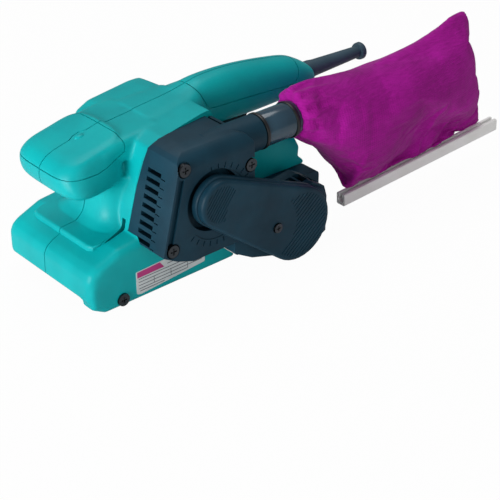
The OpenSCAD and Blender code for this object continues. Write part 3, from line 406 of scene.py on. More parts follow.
def finishes():
    """Every material, made once."""
    if FINISH:
        return FINISH
    s = settings()
    FINISH.update({
        # Glass-filled nylon from a spark-eroded mould: satin, with a fine even grain
        "teal_plastic": moulded("teal_nylon", "#00aeb2", "#00b4b6", "#00a6aa", 0.5, 0.12, 0.42, 0.05,
                                **{"IOR": 1.5, "Specular IOR Level": 0.22}),
        # The same nylon in blue-grey: a shade coarser, so highlights spread
        "slate_plastic": moulded("slate_nylon", "#0f3647", "#133d4f", "#0c2f3f", 0.6, 0.2, 0.5, 0.06,
                                 **{"IOR": 1.5, "Specular IOR Level": 0.22}),
        # Smooth drawn tube: sharp long highlights
        "cuff_plastic": moulded("cuff_tube", "#264456", "#2d4d60", "#203b4b", 2.0, 0.02, 0.16, 0.04,
                                **{"IOR": 1.5, "Coat Weight": 0.4, "Coat Roughness": 0.08}),
        # Black acetal and phenolic mouldings
        "black_plastic": moulded("black_nylon", "#141618", "#1b1d20", "#0e1011", 0.4, 0.12, 0.4, 0.06),
        "rail_plastic": moulded("rail_vinyl", "#fdfdfb", "#ffffff", "#f6f6f3", 1.2, 0.05, 0.38, 0.06,
                                **{"IOR": 1.52}),
        "ring_plastic": moulded("binding_ring", "#3b3f55", "#46495f", "#303347", 0.8, 0.08, 0.25, 0.05),
        "guard_rubber": moulded("guard_rubber", "#34505f", "#3b5868", "#2c4653", 0.5, 0.25, 0.5, 0.07),
        "rubber": moulded("roller_rubber", "#1d1f20", "#26282a", "#151617", 0.7, 0.4, 0.68, 0.06),
        "belt_rubber": moulded("belt_rubber", "#141414", "#1c1c1c", "#0d0d0d", 0.6, 0.3, 0.7, 0.05),
        "steel": machined("ground_steel", "#a9aeb2", 0.28, 0.4, "Y"),
        "spring_steel": machined("spring_wire", "#b4b9bc", 0.3, 0.3, "X"),
        # Black oxide leaves the steel dark with a low oily gleam
        "screw_steel": machined("black_oxide", "#4a4e52", 0.26, 0.5, "Z"),
        "aluminium": machined("turned_aluminium", "#b7bbbe", 0.36, 0.5, "Y"),
        "copper": machined("enamelled_copper", "#b8703c", 0.3, 0.5, "Y"),
        "brass": machined("stamped_brass", "#c9a24a", 0.3, 0.6, "X"),
        "carbon": gritted("pressed_carbon", "#1b1b1c", "#343436", 0.4, 0.6, 0.3),
        # Aluminium oxide on cloth, drawn coarser than its real grit so that it shows
        "abrasive": gritted("abrasive_cloth", "#47202c", "#7c4450", 0.7, 0.85, 0.8),
        "cork": gritted("pressed_cork", "#7c5b38", "#a98657", 1.6, 0.8, 0.5),
        "bag_cloth": woven("bag_cotton", "#a3118f", "#b81aa4", "#880a76", 1.1,
                           **{"Roughness": 0.85, "Specular IOR Level": 0.15, "Sheen Weight": 0.08,
                              "Sheen Roughness": 0.4}),
        "label_band": moulded("label_band", "#c0327f", "#c83a88", "#b02a74", 3.0, 0.02, 0.3, 0.04),
        "label_ink": moulded("label_ink", "#3a4650", "#435058", "#323d46", 3.0, 0.02, 0.35, 0.04),
        "label_film": moulded("label_film", "#dadfe0", "#e2e6e7", "#cfd5d7", 3.0, 0.02, 0.25, 0.04),
    })
    return FINISH


# ---------- Operators ----------

class SANDER_OT_stage(bpy.types.Operator):
    """Sets up the floor, the soft lights and the camera"""
    bl_idname = "sander.stage"
    bl_label = "Studio"

    def execute(self, context):
        scene = context.scene
        scene.view_settings.view_transform = "Standard"
        s = settings()
        mesh = bmesh.new()
        bmesh.ops.create_grid(mesh, x_segments=2, y_segments=2, size=6000)
        floor = from_bmesh("floor", mesh)
        material = bpy.data.materials.new("pale_floor")
        material.use_nodes = True
        tree = material.node_tree
        tree.nodes.clear()
        matt = add(tree, "ShaderNodeBsdfDiffuse", {"Color": (0.82, 0.82, 0.82, 1)})
        glow = add(tree, "ShaderNodeEmission", {"Color": (1, 1, 1, 1), "Strength": 1.0})
        path = add(tree, "ShaderNodeLightPath")
        share = add(tree, "ShaderNodeMath", {0: path.outputs["Is Camera Ray"], 1: s.floor_white},
                    operation="MULTIPLY")
        mixed = add(tree, "ShaderNodeMixShader", {0: share.outputs[0], 1: matt.outputs[0],
                                                  2: glow.outputs[0]})
        add(tree, "ShaderNodeOutputMaterial", {"Surface": mixed.outputs[0]})
        floor.data.materials.append(material)
        world = bpy.data.worlds.new("studio")
        world.use_nodes = True
        tree = world.node_tree
        tree.nodes.clear()
        path = add(tree, "ShaderNodeLightPath")
        seen = add(tree, "ShaderNodeMapRange", {"Value": path.outputs["Is Camera Ray"],
                                                "To Min": s.sky, "To Max": 1.0})
        sky = add(tree, "ShaderNodeBackground", {"Color": (1, 1, 1, 1), "Strength": seen.outputs[0]})
        add(tree, "ShaderNodeOutputWorld", {"Surface": sky.outputs[0]})
        scene.world = world
        aim = Vector((0.06, 0, 0.06))
        for name, place, size, power in (
                ("key", (-1.7, -0.25, 0.35), 1.0, s.key), ("top", (0.35, 0.45, 1.8), 1.4, s.top),
                ("fill", (-0.3, -2.0, 0.7), 1.6, s.fill)):
            lamp = bpy.data.lights.new(name, "AREA")
            lamp.shape, lamp.size, lamp.energy = "DISK", size, power
            light = bpy.data.objects.new(name, lamp)
            light.location = place
            light.rotation_euler = (aim - light.location).to_track_quat("-Z", "Y").to_euler()
            scene.collection.objects.link(light)
        lens = bpy.data.cameras.new("camera")
        lens.lens, lens.sensor_width, lens.clip_end = 106.4, 36.0, 50
        camera = bpy.data.objects.new("camera", lens)
        scene.collection.objects.link(camera)
        turn, rise = math.radians(-41), math.radians(31)
        back = Vector((math.sin(turn) * math.cos(rise), -math.cos(turn) * math.cos(rise), math.sin(rise)))
        camera.location = Vector((0.1055, 0, -0.046)) + back * 1.25
        camera.rotation_euler = (-back).to_track_quat("-Z", "Y").to_euler()
        scene.camera = camera
        return {"FINISHED"}


class SANDER_OT_frame_finish(bpy.types.Operator):
    """Gives every node of the frame its real material"""
    bl_idname = "sander.frame_finish"
    bl_label = "Frame finishes"

    def execute(self, context):
        made = finishes()
        slots = {row["node"]: row["material_slot"] for row in frame["record"]["subparts"]}
        for name, part in frame["nodes"].items():
            for place in part.material_slots:
                place.material = made[slots[name]]
        return {"FINISHED"}


class SANDER_OT_housing(bpy.types.Operator):
    """Models the two housing shells as one moulded body, then parts them"""
    bl_idname = "sander.housing"
    bl_label = "Housing shells"

    def forms(self):
        """The soft forms, which overlap and become one skin."""
        mesh = bmesh.new()
        slab(mesh, [(-97, 12.4), (-97, 30), (-94.4, 35.4), (-89.2, 39.2), (-80, 43), (-69, 47.5),
                    (-45, 50), (34, 60), (34, 12.4)], NEAR, FAR, edge=6.5, segments=4)
        # Cheek on the drive side
        slab(mesh, [(-96, 22), (-95, 6.5), (-84, 0.2), (40, 0.2), (40, 44), (-70, 45), (-88, 38)],
             NEAR, -42.5, edge=3)
        # Block round the motor; its far side flares towards the back
        block = slab(mesh, [(-51, 44), (-36.5, 108), (-33, 116), (-20, 120.3), (20, 123.6), (30, 123.5),
                            (38, 112), (38, 52), (0, 44)], NEAR, FAR, edge=7, segments=4)
        for vert in block:
            if vert.co.y > 0:
                reach = 0.76 + 0.25 * min(max((vert.co.x + 50) / 45, 0), 1) ** 0.7
                low = min(max((118 - vert.co.z) / 50, 0), 1)
                vert.co.y *= reach + (1 - reach) * low
        # Neck, flared at its foot, under the grip and towards the block
        neck = smooth_rows([
            # height, front, near, far, flare to the back
            [45, -72, -38, 38, 0.1], [49.5, -65, -32, 32, 0.3], [54, -60.5, -28, 27, 0.5],
            [62, -58, -24.5, 23, 0.7], [74, -57.5, -23.5, 22, 0.75], [83, -59, -25.5, 24, 0.6],
            [90, -66, -31, 30, 0.25]], 4)
        loft(mesh, neck, lambda r, a: self.level(r[0], r[1], -30, r[2], r[3], a, 3.4, flare=r[4]))
        # Palm grip: height at the front, front, near, far, slope to the back, flare to the back
        grip = smooth_rows([
            [83.4, -84, -31, 27, 0.0, -0.2], [85.2, -90, -37.5, 33, 0.0, -0.24],
            [89, -94, -40.5, 36.5, 0.0, -0.22], [95, -95.6, -38.3, 37.6, 0.02, -0.14],
            [101.5, -95.2, -34.5, 37, 0.05, -0.02], [105.5, -93, -32.4, 35.4, 0.14, 0.02],
            [108.3, -88.8, -29.5, 32.5, 0.212, 0.04], [109.5, -82, -24, 26, 0.232, 0.05]], 4)
        loft(mesh, grip, lambda r, a: self.level(r[0], r[1], -38, r[2], r[3], a, 4.2, r[4], r[5]),
             count=72)
        slab(mesh, [(-66, 100), (-62, 115.4), (-50, 118), (-38, 119), (-10, 121.6), (-10, 100)], -33, 34,
             edge=6, segments=4)
        # Rear handle: x, half width, underside, top, power
        handle = smooth_rows([
            [16, 22, 92, 123.8, 2.9], [30, 20.5, 91, 126.6, 2.8], [40, 18.4, 90, 128.4, 2.6],
            [52, 16.6, 88.5, 130.6, 2.5], [74, 15.8, 87, 130.9, 2.4], [98, 15.6, 86, 128.8, 2.4],
            [122, 15.6, 86.4, 125.2, 2.4], [142, 15.4, 87.4, 121.2, 2.4], [153, 14.5, 88, 116.2, 2.4],
            [161, 12.8, 88.8, 111.2, 2.4], [166.4, 10.4, 90.4, 106.6, 2.4], [168.4, 6.5, 93, 102, 2.2]], 3)
        loft(mesh, handle, self.upright)
        # Shoulder that eases the deck into the handle
        shoulder = smooth_rows([[-10, 32, 100, 122.3, 3.4], [14, 30, 98, 124.4, 3.2], [28, 25, 96, 126, 3],
                                [42, 19.5, 94, 128, 2.8]], 4)
        loft(mesh, shoulder, self.upright)
        # Hood over the drive roller and the duct behind the belt cover
        slab(mesh, arc((74, 32.95), 37.2, -19, 118, 16) + [(36, 66), (36, 40), (60, 22)], -42.5, 44, edge=4)
        slab(mesh, [(30, 49), (30, 82), (104, 80), (117, 71.5), (121.5, 63), (120.4, 55), (127, 48.6),
                    (126, 46), (60, 45)], -42.5, -22, edge=2)
        return outward(mesh)

    @staticmethod
    def level(height, front, back, near, far, angle, power, slope=0.0, flare=0.0):
        """A point of a level ring of the grip or the neck."""
        u, v = squircle(angle, (back - front) / 2, (far - near) / 2, power)
        x, y = (front + back) / 2 + u, (near + far) / 2 + v
        y *= 1 + flare * max(0, (x - front) / (back - front)) ** 1.6
        return (x, y, height + slope * (x + 92))

    @staticmethod
    def upright(row, angle):
        """A point of an upright ring of the handle."""
        x, half, low, high, power = row
        u, v = squircle(angle, half, (high - low) / 2, power)
        return (x, u, (low + high) / 2 + v)

    def crisp_forms(self):
        """The platform on the nose and the dot on the grip, which keep their edges."""
        plan = [(-82, 30), (-80.5, 35.5), (-76, 37), (-44, 34), (-44, -31.5), (-74.5, -39.6), (-79.5, -38.6),
                (-81.6, -34)]
        mesh = bmesh.new()
        face = mesh.faces.new([mesh.verts.new((x, y, 40)) for x, y in plan])
        top = pull(mesh, face, (0, 0, 7))
        for vert in top:
            vert.co.z += 0.07 * (vert.co.x + 80)
        outward(mesh)
        rim = [e for e in mesh.edges if all(v.co.z > 45 and v.co.x < -45 for v in e.verts)]
        bmesh.ops.bevel(mesh, geom=rim, offset=1.8, segments=3, profile=0.5, affect="EDGES", material=-1)
        yield mesh
        mesh = bmesh.new()
        made = bmesh.ops.create_uvsphere(mesh, u_segments=20, v_segments=12, radius=1)["verts"]
        bmesh.ops.scale(mesh, vec=(5, 3, 2.6), verts=made)
        bmesh.ops.translate(mesh, vec=(-60, -2.6, 115.6), verts=made)
        yield mesh

    def rooms(self):
        """What the belt, the fan housing, the frame, the outlet and the motor take away."""
        def slabbed(outline, y0, y1):
            mesh = bmesh.new()
            slab(mesh, outline, y0, y1)
            return mesh

        yield slabbed(wrap((-74, 17.45), 18.75, (74, 32.95), 34.45), -40.5, 80)
        yield slabbed([(-130, -20), (-130, 12.4), (-95, 12.4), (-74, 17.45), (74, 32.95), (118, -20)],
                      -40.5, 80)
        yield slabbed([(20, 20), (40, 2), (74, 2), (110, 4), (127, 20), (127, 47.8), (37.4, 49.6),
                       (37.4, 33.6), (22, 33.6)], -90, -42.7)
        yield slabbed(arc(MOTOR, 28.6, 0, 348, 29), -38, 42)
        for ends in (((-40, *OUTLET), (90, *OUTLET), 15),
                     ((-68.5, -60, 6.5), (-68.5, -56.4, 6.5), 5.3), ((139, 0, 101.5), (180, 0, 101.5), 8)):
            mesh = bmesh.new()
            rod(mesh, *ends)
            yield mesh
        for low, high in (((66, -10.2, 95), (114, 10.2, 117)), ((64, -6.4, 78), (102, 6.4, 108))):
            mesh = bmesh.new()
            box(mesh, low, high)
            yield mesh
        # Crease behind the near edge of the platform, wider towards the back
        mesh = bmesh.new()
        face = mesh.faces.new([mesh.verts.new((x, y, 43.5)) for x, y in
                               ((-72, -40.4), (-43, -32), (-43, -36.5), (-66, -40.6))])
        pull(mesh, face, (0, 0, 14))
        yield mesh

    @staticmethod
    def fan_side(base=34.0):
        """The part of the block that the fan housing stands on."""
        mesh = bmesh.new()
        plan = FAN_EDGE + [(FAN_EDGE[-1][0], -120), (FAN_EDGE[0][0], -120)]
        pull(mesh, mesh.faces.new([mesh.verts.new((x, y, base)) for x, y in plan]), (0, 0, 120))
        return outward(mesh)

    def grooves(self):
        """The parting line of the shells, the cap line of the grip and the panel line of the handle."""
        half = GROOVE / 2
        # The parting line jogs round a small boss on the grip
        for z0, z1, line in ((-20, 100, [(-130, 0), (200, 0)]),
                             (100, 140, [(-130, 0), (-68, 0), (-63, 2.4), (-57, 2.4), (-53, 0), (200, 0)])):
            mesh = bmesh.new()
            plan = [(x, y - half) for x, y in line] + [(x, y + half) for x, y in reversed(line)]
            pull(mesh, mesh.faces.new([mesh.verts.new((x, y, z0)) for x, y in plan]), (0, 0, z1 - z0))
            yield mesh
        for line in (GRIP_LINE, HANDLE_LINE):
            mesh = bmesh.new()
            slab(mesh, ribbon(line, GROOVE), NEAR + 1, FAR - 1)
            yield mesh

    def side_holes(self):
        """Screw wells and air slots in the open side."""
        mesh = bmesh.new()
        for x, z, seat in CASE_WELLS:
            rod(mesh, (x, seat, z), (x, 70, z), 4.2)
        for i in range(-3, 4):
            for z in (90.7, 57.7):
                box(mesh, (-4.4 + i * 6, 42, z), (-1.6 + i * 6, 60, z + 8))
        return mesh

    def execute(self, context):
        skin_size = 1.1 * MM
        shell = from_bmesh("shell", self.forms())
        skin = shell.modifiers.new("skin", "REMESH")
        skin.mode = "VOXEL"
        skin.voxel_size = skin_size
        ease = shell.modifiers.new("ease", "SMOOTH")
        ease.factor, ease.iterations = 0.5, 12
        finished(shell)
        # The deck and the grip are crowned, and fall away to the open side
        for vert in shell.data.vertices:
            x, y, z = vert.co / MM
            high = min(max((z - 102) / 12, 0), 1)
            vert.co.z -= (0.0014 if x < 30 else 0.008) * y * max(y, 0) * high * MM
        for form in self.crisp_forms():
            cut(shell, from_bmesh("form", outward(form)), "UNION")
        core = shell.copy()
        core.data = shell.data.copy()
        context.scene.collection.objects.link(core)
        sink = core.modifiers.new("sink", "DISPLACE")
        sink.strength, sink.mid_level = -GROOVE_DEPTH * MM, 0
        clean = core.modifiers.new("clean", "REMESH")
        clean.mode, clean.voxel_size = "VOXEL", skin_size
        finished(core)
        for line in self.grooves():
            strip = from_bmesh("groove", outward(line))
            cut(strip, core, keep=True)
            cut(shell, strip)
        bpy.data.objects.remove(core)
        foot = bmesh.new()
        slab(foot, FAN_PROFILE, -90, -30)
        foot = cut(from_bmesh("foot", outward(foot)), from_bmesh("side", self.fan_side()), "INTERSECT")
        cut(shell, foot)
        for form in (*self.rooms(), self.fan_side(50.5), self.side_holes()):
            cut(shell, from_bmesh("room", outward(form)))
        for name, side, node in (("shell_left", -1, "housing_left"), ("shell_right", 1, "housing_right")):
            half = shell.copy()
            half.data = shell.data.copy()
            half.name = name
            context.scene.collection.objects.link(half)
            mesh = bmesh.new()
            box(mesh, (-200, min(0, -side * 200), -50), (300, max(0, -side * 200), 200))
            cut(half, from_bmesh("parting", mesh))
            dressed(half, finishes()["teal_plastic"], MACHINE, "teal_plastic", 40)
            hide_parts(node)
        bpy.data.objects.remove(shell)
        return {"FINISHED"}


class SANDER_OT_fan_housing(bpy.types.Operator):
    """Models the fan housing with its slots, screw wells, tick ring and outlet tube"""
    bl_idname = "sander.fan_housing"
    bl_label = "Fan housing"

    def execute(self, context):
        mesh = bmesh.new()
        # Section across the machine, with the long round shoulder that runs into the outlet
        section = [(-36, 33.5), (-36, 121), (-71, 121), *arc((-71, 107), 14, 90, 180, 8)[1:],
                   (FAN_FACE, 33.5)]
        face = mesh.faces.new([mesh.verts.new((-60, y, z)) for y, z in section])
        pull(mesh, face, (97, 0, 0))
        outward(mesh)
        # Front wall, feet and rear corner, each a plane that cuts the bar
        for a, b in zip(FAN_PROFILE, FAN_PROFILE[1:]):
            out = Vector((a[1] - b[1], 0, b[0] - a[0]))
            trimmed = bmesh.ops.bisect_plane(mesh, geom=mesh.verts[:] + mesh.edges[:] + mesh.faces[:],
                                             dist=0.0001, plane_co=(a[0], 0, a[1]), plane_no=out,
                                             clear_outer=True)
            rim = [g for g in trimmed["geom_cut"] if isinstance(g, bmesh.types.BMEdge)]
            bmesh.ops.edgeloop_fill(mesh, edges=rim)
        bmesh.ops.dissolve_degenerate(mesh, dist=0.01, edges=mesh.edges)
        outward(mesh)
        rim = [e for e in mesh.edges if e.is_manifold and e.calc_face_angle(0) > 0.5
               and all(v.co.y < -37 for v in e.verts)]
        bmesh.ops.bevel(mesh, geom=rim, offset=1.7, segments=3, profile=0.5, affect="EDGES", material=-1,
                        clamp_overlap=True)
        body = from_bmesh("fan_cover", outward(mesh))
        cut(body, from_bmesh("side", SANDER_OT_housing.fan_side(30)), "INTERSECT")
        for form in self.cuts():
            cut(body, from_bmesh("cut", outward(form)))
        tube = bmesh.new()
        lathe(tube, [(14.2, 2), (14.4, 20), (14.2, 34), (14, 44), (14, 52.8), (13.5, 53.4), (12.5, 53.4),
                     (12.1, 52.8), (12, 30), (12, 2)])
        outlet = from_bmesh("outlet_tube", outward(on_outlet(tube)))
        for piece in (body, outlet):
            dressed(piece, finishes()["slate_plastic"], MACHINE, "slate_plastic", 38)
            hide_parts("fan_housing")
        return {"FINISHED"}

    @staticmethod
    def cuts():
        """Slots, wells and lines, as closed cutters that don't overlap within one mesh."""
        lean = math.atan2(17, 70)
        slots, marks, rows, wells = bmesh.new(), bmesh.new(), bmesh.new(), bmesh.new()
        way = Vector((math.sin(lean), 0, math.cos(lean)))
        for i in range(9):
            centre = Vector((-43.2, -60.2, 75.5)) + way * (i - 4) * 6.75
            box(slots, centre - Vector((9, 7.6, 1.7)), centre + Vector((9, 7.6, 1.7)), turn=(0, lean, 0))
            # A fine step line runs on from each slot
            mark = centre + Vector((0, -10.2, -1.9))
            box(marks, mark - Vector((4.3, 2.4, 0.35)), mark + Vector((4.3, 2.4, 0.35)), turn=(0, lean, 0))
        centre = Vector((0.5, 72.5))
        for a in range(-140, 101, 12):
            at = centre + Vector((math.cos(math.radians(a)), math.sin(math.radians(a)))) * 31
            box(rows, (at.x - 2.1, -86, at.y - 0.5), (at.x + 2.1, -84.2, at.y + 0.5),
                turn=(0, -math.radians(a), 0))
        for start, end in ((-140, -62), (20, 100)):
            slab(rows, arc(centre, 27.6, start, end, 16) + arc(centre, 27, end, start, 16), -86, -84.3)
        for x, z in FAN_SCREWS:
            rod(wells, (x, -90, z), (x, -81.6, z), 6)
        pit, channel, pocket, step = bmesh.new(), bmesh.new(), bmesh.new(), bmesh.new()
        rod(pit, (MOTOR[0], -90, MOTOR[1]), (MOTOR[0], -78, MOTOR[1]), 24.5, count=64)
        # Dark channel behind the front edge of the face, and the clip pocket on top
        slab(channel, [(-47, 52), (-34.4, 104), (-29.6, 103), (-42, 51)], -90, -82.6)
        box(pocket, (24.6, -65.5, 115.5), (28.4, -36, 130))
        box(step, (28.3, -66.4, 118.6), (40, -36, 130))
        return slots, marks, rows, wells, pit, channel, pocket, step


class SANDER_OT_cuff(bpy.types.Operator):
    """Models the turned cuff with its inner sleeve, and the two rings on it"""
    bl_idname = "sander.cuff"
    bl_label = "Bag cuff"

    def execute(self, context):
        tube = [(11.95, 45.6), (11.95, 54.2), (13.3, 54.2), (13.6, 55.2), (13.6, 86.2), (12, 86.4),
                (12, 96.4), (10.3, 96.4), (10.2, 46)]
        band = [(13.6, 0), (14.2, 0.1), (14.5, 0.6), (14.5, 2.2), (14.2, 2.7), (13.6, 2.8)]
        for name, node, slot, turned in (
                ("cuff_tube", "bag_cuff", "cuff_plastic", (tube,)),
                ("cuff_bands", "cuff_rings", "black_plastic",
                 [[(r, x + h) for r, h in band] for x in (53.8, 83.4)])):
            mesh = bmesh.new()
            for profile in turned:
                lathe(mesh, profile)
            piece = from_bmesh(name, outward(on_outlet(mesh)))
            dressed(piece, finishes()[slot], CUFF, slot, 38)
            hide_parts(node)
        return {"FINISHED"}


class SANDER_OT_belt_cover(bpy.types.Operator):
    """Models the cover over the pulleys, with its rim, rear step and ribbed ends"""
    bl_idname = "sander.belt_cover"
    bl_label = "Belt cover"

    def execute(self, context):
        mesh = bmesh.new()
        slab(mesh, wrap(MOTOR, 18.5, BIG_WHEEL, 30.5), COVER_FACE, -83.2, edge=2.6, segments=5)
        cover = from_bmesh("cover", outward(mesh))
        step = [(70, 20), (70, 58), (92, 57), (104, 50), (107.5, 42), (107.5, 12), (100, 8)]
        for outline, front in ((wrap(MOTOR, 20, BIG_WHEEL, 30.8), -89.2), (step, -89)):
            mesh = bmesh.new()
            slab(mesh, outline, front, -83.2, edge=1.2, segments=3)
            cut(cover, from_bmesh("rim", outward(mesh)), "UNION")
        # Fine slanting ribs, kept inside an arc at each end
        for centre, keep, reach, spare, pitch, slant in ((MOTOR, 14.6, (34, -18), 32, 2.4, 52),
                                                         (BIG_WHEEL, 26.6, (-31, 7), 27, 3.1, 38)):
            mesh = bmesh.new()
            for i in range(-9, 10):
                box(mesh, (-40, -95.6, i * pitch - 0.4), (40, -94.55, i * pitch + 0.4))
            bmesh.ops.rotate(mesh, cent=(0, 0, 0), matrix=Matrix.Rotation(math.radians(-slant), 3, "Y"),
                             verts=mesh.verts)
            bmesh.ops.translate(mesh, vec=(centre[0], 0, centre[1]), verts=mesh.verts)
            ribs = from_bmesh("ribs", outward(mesh))
            mesh = bmesh.new()
            rod(mesh, (centre[0], -96, centre[1]), (centre[0], -94, centre[1]), keep, count=64)
            cut(ribs, from_bmesh("end", outward(mesh)), "INTERSECT")
            mesh = bmesh.new()
            rod(mesh, (centre[0] + reach[0], -97, centre[1] + reach[1]),
                (centre[0] + reach[0], -93, centre[1] + reach[1]), spare, count=64)
            cut(ribs, from_bmesh("middle", outward(mesh)))
            cut(cover, ribs)
        x, _, z = middle("cover_screw")
        for low, high, radius in ((-96, -93.6, 4.3), (-94, -80, 2)):
            mesh = bmesh.new()
            rod(mesh, (x, low, z), (x, high, z), radius)
            cut(cover, from_bmesh("well", outward(mesh)))
        mesh = bmesh.new()
        slab(mesh, wrap(MOTOR, 16.7, BIG_WHEEL, 28.7), -93.4, -80)
        cut(cover, from_bmesh("inside", outward(mesh)))
        dressed(cover, finishes()["slate_plastic"], MACHINE, "slate_plastic", 35)
        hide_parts("belt_cover")
        return {"FINISHED"}


class SANDER_OT_label(bpy.types.Operator):
    """Lays the rating label on the cheek, with its colour band and rules and no words"""
    bl_idname = "sander.label"
    bl_label = "Rating label"

    def execute(self, context):
        mesh = bmesh.new()
        slab(mesh, [(-56, 5.5), (-56, 24.5), (-30, 25.5), (9, 25.5), (9, 9), (-52, 4.6)], -58.4, -58.02,
             corner=1.2)
        plate = from_bmesh("label_plate", outward(mesh))
        dressed(plate, finishes()["label_film"], MACHINE, "label_film", 30)
        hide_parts("rating_label")
        mesh = bmesh.new()
        slab(mesh, [(-55.2, 19.2), (-55.2, 24), (-34, 24.8), (-30, 19.6)], -58.5, -58.35)
        band = from_bmesh("label_band", outward(mesh))
        dressed(band, finishes()["label_band"], MACHINE, None, 30)
        mesh = bmesh.new()
        for z, start, end in ((17.6, -54, -12), (15, -54, 4), (12.2, -54, 6), (9.4, -54, -8), (7.2, -53, -30),
                              (21, -27, -2)):
            slab(mesh, [(start, z), (start, z + 0.5), (end, z + 0.7), (end, z + 0.2)], -58.48, -58.35)
        for x in (-40, -24, -8):
            slab(mesh, [(x, 9.8), (x, 15), (x + 0.4, 15), (x + 0.4, 9.8)], -58.47, -58.35)
        rules = from_bmesh("label_rules", outward(mesh))
        dressed(rules, finishes()["label_ink"], MACHINE, None, 30)
        return {"FINISHED"}


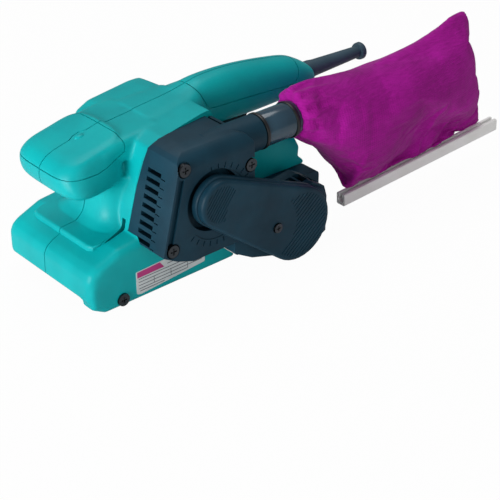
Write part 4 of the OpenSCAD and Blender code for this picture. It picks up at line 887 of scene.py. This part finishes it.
class SANDER_OT_dust_bag(bpy.types.Operator):
    """Cuts, sews and fills the cloth bag, then lets the cloth settle"""
    bl_idname = "sander.dust_bag"
    bl_label = "Dust bag"

    def execute(self, context):
        s = settings()
        # Sections from the mouth to the far seam: foot X and Z, top X and Z, thickness, then how sharp
        # the foot and the top are
        rows = smooth_rows([
            [89.3, 92.8, 89.3, 128.2, 35.5, 1.0, 1.0], [95, 89.5, 95, 129.2, 38, 1.0, 1.0],
            [104, 82, 103, 130, 41, 1.1, 1.0], [116, 71, 116, 130, 43, 1.3, 1.0],
            [131, 54, 132, 130.6, 44, 1.6, 1.05], [143.5, 33, 147, 131.4, 43, 2.0, 1.1],
            [149, 21, 158, 132, 42, 2.4, 1.1], [172, 21.9, 178, 133, 42, 2.4, 1.1],
            [200, 23.2, 200, 134.6, 42, 2.4, 1.1], [230, 24.7, 225, 138, 40, 2.4, 1.15],
                [262, 26.3, 247, 143, 35, 2.3, 1.2], [290, 27.6, 262, 148, 25, 2.0, 1.3],
                [310, 28.6, 273, 151, 15, 1.5, 1.3], [320, 29.1, 279, 152, 9, 1.0, 1.0]], 4)
        mesh = bmesh.new()
        loft(mesh, rows, self.station, count=56)
        bag = from_bmesh("bag_cloth", outward(mesh))
        weave = bag.modifiers.new("even", "REMESH")
        weave.mode, weave.voxel_size = "VOXEL", 3.4 * MM
        finished(bag)
        self.settle(context, bag, s)
        mesh = bmesh.new()
        mesh.from_mesh(bag.data)
        bmesh.ops.subdivide_edges(mesh, edges=mesh.edges, cuts=1, use_grid_fill=True)
        bmesh.ops.smooth_vert(mesh, verts=mesh.verts, factor=0.5, use_axis_x=True, use_axis_y=True,
                              use_axis_z=True)
        mesh.normal_update()
        for vert in mesh.verts:
            vert.co += vert.normal * self.folds(vert.co / MM) * MM
        mesh.to_mesh(bag.data)
        mesh.free()
        dressed(bag, finishes()["bag_cloth"], BAG, "bag_cloth", 180)
        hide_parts("dust_bag")
        return {"FINISHED"}

    @staticmethod
    def station(row, angle):
        """A point of one section of the bag, pinched at its foot."""
        xb, zb, xt, zt, thick, foot, top = row
        share = (1 + math.sin(angle)) / 2
        edge = foot + (top - foot) * share
        side = math.copysign(abs(math.cos(angle)) ** edge, math.cos(angle))
        return (xb + (xt - xb) * share, OUTLET[0] + thick / 2 * side, zb + (zt - zb) * share)

    @staticmethod
    def folds(at):
        """Height in millimetres of the folds that gather at the mouth and pull towards the corners."""
        gather = min(max((128 - at.x) / 36, 0), 1)
        round_mouth = math.atan2(at.z - 110, at.y + 66)
        pleat = math.sin(11 * round_mouth + 2.2 * noise.noise(Vector((at.x / 26, 0, 3.0))))
        fine = math.sin(23 * round_mouth + 1.7)
        high = 1.5 * gather ** 1.5 * (pleat + 0.35 * fine)
        drape = noise.noise(Vector((at.x / 46 + at.z / 60, at.y / 70, at.z / 34 - at.x / 70)))
        return high * min(1, (at.x - 88) / 5) + 1.6 * drape * (1 - gather)

    @staticmethod
    def settle(context, bag, s):
        """Fills the bag with air. The mouth and the hem in the rail hold still."""
        start = [v.co.copy() for v in bag.data.vertices]
        hold = bag.vertex_groups.new(name="hold")
        for v in bag.data.vertices:
            at = v.co / MM
            rail = RAIL_FOOT[1] + (at.x - RAIL_FOOT[0]) * RAIL_TILT + 9
            if at.x < 94 or (at.z < rail and at.x > 146):
                hold.add([v.index], 1.0, "REPLACE")
        cloth = bag.modifiers.new("cloth", "CLOTH")
        cloth.settings.quality = 6
        cloth.settings.mass = 0.15
        cloth.settings.tension_stiffness = cloth.settings.compression_stiffness = 20
        cloth.settings.shear_stiffness, cloth.settings.bending_stiffness = 8, 0.15
        cloth.settings.use_pressure = True
        cloth.settings.uniform_pressure_force = s.bag_pressure
        cloth.settings.shrink_min = -0.05
        cloth.settings.vertex_group_mass = "hold"
        cloth.settings.effector_weights.gravity = 0
        cloth.collision_settings.use_collision = False
        cloth.point_cache.frame_start, cloth.point_cache.frame_end = 1, CLOTH_FRAMES
        for now in range(1, CLOTH_FRAMES + 1):
            context.scene.frame_set(now)
        finished(bag)
        context.scene.frame_set(1)
        most = s.bag_travel * MM
        for v, home in zip(bag.data.vertices, start):
            way = v.co - home
            if way.length > most:
                v.co = home + way * (most / way.length)
        bag.vertex_groups.clear()


class SanderSettings(bpy.types.PropertyGroup):
    bag_pressure: bpy.props.FloatProperty(name="Bag pressure", description="Air that fills the bag",
                                          default=2.5)
    bag_travel: bpy.props.FloatProperty(name="Bag travel", description="Most that its cloth may move, in mm",
                                        default=9.0)
    key: bpy.props.FloatProperty(name="Key light", description="Power of the light at the nose", default=30.0)
    top: bpy.props.FloatProperty(name="Top light", description="Power of the light overhead", default=13.0)
    fill: bpy.props.FloatProperty(name="Fill light", description="Power of the light at the drive side",
                                  default=5.0)
    sky: bpy.props.FloatProperty(name="Room light", description="Strength of the white room", default=0.24)
    floor_white: bpy.props.FloatProperty(name="Floor white", description="Share of plain white in the floor",
                                         default=0.97, min=0, max=1, subtype="FACTOR")


OPERATORS = (SANDER_OT_stage, SANDER_OT_frame_finish, SANDER_OT_housing, SANDER_OT_fan_housing,
             SANDER_OT_cuff, SANDER_OT_belt_cover, SANDER_OT_label, SANDER_OT_dust_bag)


class SANDER_PT_panel(bpy.types.Panel):
    """Lists the steps that dress the sander"""
    bl_label = "Belt sander"
    bl_idname = "SANDER_PT_panel"
    bl_space_type = "VIEW_3D"
    bl_region_type = "UI"
    bl_category = "Sander"

    def draw(self, context):
        for step in OPERATORS:
            self.layout.operator(step.bl_idname)


def register():
    for cls in (SanderSettings, *OPERATORS, SANDER_PT_panel):
        bpy.utils.register_class(cls)
    bpy.types.Scene.belt_sander = bpy.props.PointerProperty(type=SanderSettings)


def unregister():
    del bpy.types.Scene.belt_sander
    for cls in reversed((SanderSettings, *OPERATORS, SANDER_PT_panel)):
        bpy.utils.unregister_class(cls)


def main():
    register()
    bpy.ops.sander.stage()
    bpy.ops.sander.frame_finish()
    bpy.ops.sander.housing()
    bpy.ops.sander.fan_housing()
    bpy.ops.sander.cuff()
    bpy.ops.sander.belt_cover()
    bpy.ops.sander.label()
    bpy.ops.sander.dust_bag()


if __name__ == "__main__":
    main()
